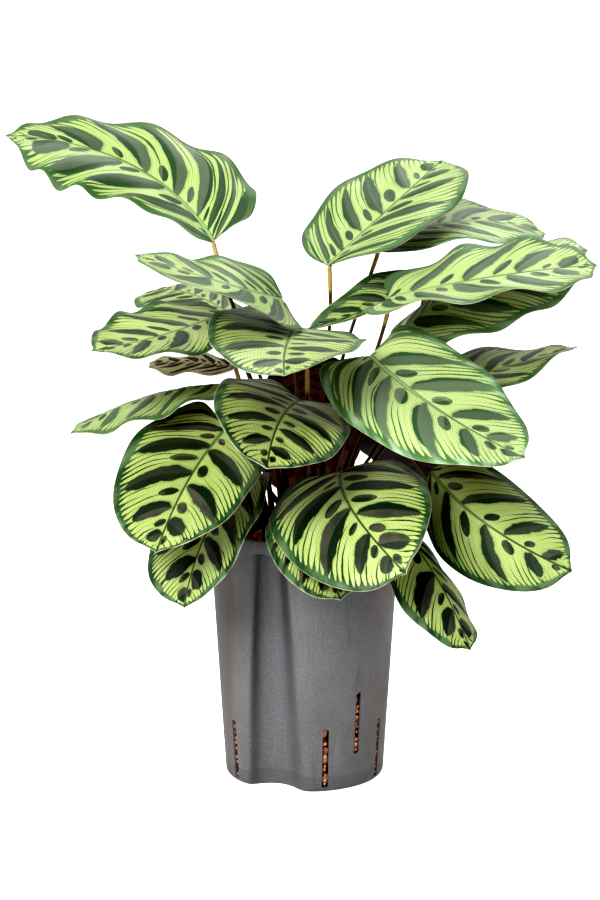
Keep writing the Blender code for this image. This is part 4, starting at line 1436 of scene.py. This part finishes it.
def white_world(settings):
    """A white surround, weaker on the camera's side, that the camera itself sees as white."""
    world = bpy.data.worlds.new("white_world")
    world.use_nodes = True
    tree = world.node_tree
    ahead = parted(place_on(tree, "Generated"))[1]
    fill = ahead.eased(-0.6, 0.8, settings.front_fill, settings.back_fill)
    background = next(n for n in tree.nodes if n.type == "BACKGROUND")
    set_inputs(background, {"Color": WHITE, "Strength": camera_sees(tree).spread(fill, 1.0)})
    return world


# Settings


LENGTH = {"subtype": "DISTANCE", "unit": "LENGTH", "precision": 5}
COLOUR = {"subtype": "COLOR", "size": 3, "min": 0, "max": 1}


class CalatheaPotSettings(bpy.types.PropertyGroup):
    """Size and finish of the culture pot."""

    lip_round: FloatProperty(
        name="Lip", description="Radius that rounds the pot's lip",
        min=0.0002, max=0.001, default=0.001, **LENGTH)
    plastic_colour: FloatVectorProperty(
        name="Plastic", description="Main colour of the pot's plastic",
        default=(0.114, 0.121, 0.129), **COLOUR)


class CalatheaGranuleSettings(bpy.types.PropertyGroup):
    """Sizes and finish of the clay granules."""

    smallest_pebble: FloatProperty(
        name="Smallest pebble", description="Radius of the smallest pebble on the fill",
        min=0.0025, max=0.0042, default=0.0038, **LENGTH)
    largest_pebble: FloatProperty(
        name="Largest pebble", description="Radius of the largest pebble on the fill",
        min=0.0074, max=0.0085, default=0.0075, **LENGTH)
    clay_colour: FloatVectorProperty(
        name="Clay", description="Colour of the lighter clay pebbles",
        default=(0.46, 0.18, 0.08), **COLOUR)


class CalatheaStalkSettings(bpy.types.PropertyGroup):
    """Sizes and colours of the leaf stalks."""

    stalk_radius: FloatProperty(
        name="Stalk", description="Radius of the plain stalk",
        min=0.001, max=0.0015, default=STALK_RADIUS * MM, **LENGTH)
    sheath_radius: FloatProperty(
        name="Sheath", description="Radius of the sheath at the stalk's foot",
        min=0.0015, max=0.0034, default=0.0032, **LENGTH)
    joint_radius: FloatProperty(
        name="Joint", description="Radius of the swollen joint under the blade",
        min=0.0014, max=0.0018, default=0.0016, **LENGTH)
    joint_length: FloatProperty(
        name="Joint length", description="Length of the swollen joint",
        min=0.010, max=0.035, default=0.024, **LENGTH)
    sheath_colour: FloatVectorProperty(
        name="Sheath", description="Colour of the sheath at the stalk's foot",
        default=(0.13, 0.014, 0.009), **COLOUR)
    stalk_colour: FloatVectorProperty(
        name="Stalk", description="Colour of the middle of the stalk",
        default=(0.085, 0.045, 0.020), **COLOUR)
    joint_colour: FloatVectorProperty(
        name="Joint", description="Colour of the swollen joint under the blade",
        default=(0.50, 0.35, 0.13), **COLOUR)


class CalatheaLeafSettings(bpy.types.PropertyGroup):
    """Sizes and colours of the leaves."""

    thickness: FloatProperty(
        name="Thickness", description="Thickness of a blade",
        min=0.0003, max=0.001, default=BLADE_THICKNESS * MM, **LENGTH)
    fold_height: FloatProperty(
        name="Folds", description="Height of the soft folds along the large marks",
        min=0, max=0.0008, default=0.0004, **LENGTH)
    rib_depth: FloatProperty(
        name="Midrib", description="How far the midrib stands out under the blade",
        min=0.0004, max=0.0015, default=RIB_DEPTH * MM, **LENGTH)
    ground_colour: FloatVectorProperty(
        name="Ground", description="Light ground between the marks",
        default=(0.58, 0.68, 0.33), **COLOUR)
    mark_colour: FloatVectorProperty(
        name="Marks", description="Dark marks along the veins",
        default=(0.007, 0.018, 0.009), **COLOUR)
    margin_colour: FloatVectorProperty(
        name="Margin", description="Green band along the margin",
        default=(0.016, 0.058, 0.020), **COLOUR)
    edge_colour: FloatVectorProperty(
        name="Edge", description="Pale line on the very edge",
        default=(0.62, 0.60, 0.42), **COLOUR)
    # Brighter than the leaf's own cream, as painted light on under sides that face away from the
    # lamps
    under_light: FloatVectorProperty(
        name="Under, light", description="Under side behind the light ground",
        default=(0.95, 0.91, 0.62), **COLOUR)
    under_dark: FloatVectorProperty(
        name="Under, dark", description="Under side behind the dark marks",
        default=(0.060, 0.010, 0.012), **COLOUR)


class CalatheaStageSettings(bpy.types.PropertyGroup):
    """Floor and light of the stage."""

    floor_colour: FloatVectorProperty(
        name="Floor", description="Colour of the floor", default=(0.93, 0.93, 0.93), **COLOUR)
    floor_lift: FloatProperty(
        name="Floor lift", description="Extra whiteness of the floor as the camera sees it",
        min=0, default=0.7)
    key_power: FloatProperty(
        name="Key light", description="Power of the main soft light",
        unit="POWER", min=0, default=39.5)
    front_fill: FloatProperty(
        name="Front fill", description="Strength of the surround's light from the camera's side",
        min=0, default=0.4)
    back_fill: FloatProperty(
        name="Back fill", description="Strength of the surround's light from behind",
        min=0, default=0.6)
    black_level: FloatProperty(
        name="Black level", description="Brightness that the picture shows as black",
        min=0, max=0.1, default=0.014)


# Operators


class CALATHEA_OT_pot(bpy.types.Operator):
    """Build the culture pot in place of its plain solid"""

    bl_idname = "calathea.pot"
    bl_label = "Culture Pot"

    def execute(self, context):
        settings = context.scene.calathea_pot
        pot = loft("culture_pot", pot_loops(settings.lip_round / MM))
        cut_away(pot, slot_cutters())
        pot.data.shade_smooth()
        pot.data.set_sharp_from_angle(angle=math.radians(SHARP_DEGREES))
        pot.data.materials.append(pot_finish(settings))
        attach(pot, "root")
        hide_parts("pot")
        return {"FINISHED"}


class CALATHEA_OT_granules(bpy.types.Operator):
    """Fill the pot with clay granules"""

    bl_idname = "calathea.granules"
    bl_label = "Clay Granules"

    def execute(self, context):
        settings = context.scene.calathea_granules
        granules = granule_piece(settings)
        granules.data.materials.append(clay_finish(settings))
        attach(granules, "root")
        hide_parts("granules")
        return {"FINISHED"}


class CALATHEA_OT_stalks(bpy.types.Operator):
    """Build every leaf stalk"""

    bl_idname = "calathea.stalks"
    bl_label = "Leaf Stalks"

    def execute(self, context):
        settings = context.scene.calathea_stalks
        finish = stalk_finish(settings)
        for leaf in LEAVES:
            piece = stalk_piece(leaf, settings)
            piece.data.materials.append(finish)
            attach(piece, "root")
            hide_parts("stalk_" + leaf.name)
        return {"FINISHED"}


class CALATHEA_OT_leaves(bpy.types.Operator):
    """Build every leaf blade with its pattern"""

    bl_idname = "calathea.leaves"
    bl_label = "Leaves"

    def execute(self, context):
        settings = context.scene.calathea_leaves
        upper = upper_finish(settings)
        under = under_finish(settings)
        for index, leaf in enumerate(LEAVES):
            piece, sides = leaf_piece(leaf, index, settings)
            piece.data.materials.append(upper)
            piece.data.materials.append(under)
            piece.data.polygons.foreach_set("material_index", sides)
            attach(piece, "root")
            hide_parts("blade_" + leaf.name)
        return {"FINISHED"}


class CALATHEA_OT_stage(bpy.types.Operator):
    """Set the floor, the light and the camera"""

    bl_idname = "calathea.stage"
    bl_label = "Stage"

    def execute(self, context):
        settings = context.scene.calathea_stage
        floor_piece(settings)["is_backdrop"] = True
        context.scene.world = white_world(settings)
        soft_light("key", KEY_PLACE, KEY_GOAL, KEY_SIZE, settings.key_power)
        soft_light("sheen", SHEEN_PLACE, SHEEN_GOAL, SHEEN_SIZE, settings.key_power * SHEEN_SHARE)
        photo_camera()
        context.scene.view_settings.view_transform = "Standard"
        context.scene.view_settings.look = "High Contrast"
        context.scene.view_settings.use_curve_mapping = True
        context.scene.view_settings.curve_mapping.black_level = [settings.black_level] * 3
        return {"FINISHED"}


class CALATHEA_PT_panel(bpy.types.Panel):
    """Sizes, colours and steps of the potted calathea"""

    bl_idname = "CALATHEA_PT_panel"
    bl_label = "Potted Calathea"
    bl_space_type = "VIEW_3D"
    bl_region_type = "UI"
    bl_category = "Calathea"

    def draw(self, context):
        for name in SETTINGS:
            settings = getattr(context.scene, name)
            box = self.layout.box()
            for field in settings.__annotations__:
                box.prop(settings, field)
            box.operator(name.replace("_", "."))


# Each group's name on the scene is also its operator's, with a dot for the underscore
SETTINGS = {
    "calathea_pot": CalatheaPotSettings,
    "calathea_granules": CalatheaGranuleSettings,
    "calathea_stalks": CalatheaStalkSettings,
    "calathea_leaves": CalatheaLeafSettings,
    "calathea_stage": CalatheaStageSettings,
}
CLASSES = (
    *SETTINGS.values(),
    CALATHEA_OT_pot,
    CALATHEA_OT_granules,
    CALATHEA_OT_stalks,
    CALATHEA_OT_leaves,
    CALATHEA_OT_stage,
    CALATHEA_PT_panel,
)


def register():
    """Add the classes and their settings to Blender."""
    for each in CLASSES:
        bpy.utils.register_class(each)
    for name, group in SETTINGS.items():
        setattr(bpy.types.Scene, name, PointerProperty(type=group))


def unregister():
    """Take the settings and the classes out again."""
    for name in SETTINGS:
        delattr(bpy.types.Scene, name)
    for each in reversed(CLASSES):
        bpy.utils.unregister_class(each)


def main():
    """Build every piece and the stage."""
    register()
    bpy.ops.calathea.stage()
    bpy.ops.calathea.pot()
    bpy.ops.calathea.granules()
    bpy.ops.calathea.stalks()
    bpy.ops.calathea.leaves()
    boxes = {"cad": [list(corner) for corner in CAD_BOX],
             "visual": [list(corner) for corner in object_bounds()]}


if __name__ == "__main__":
    main()
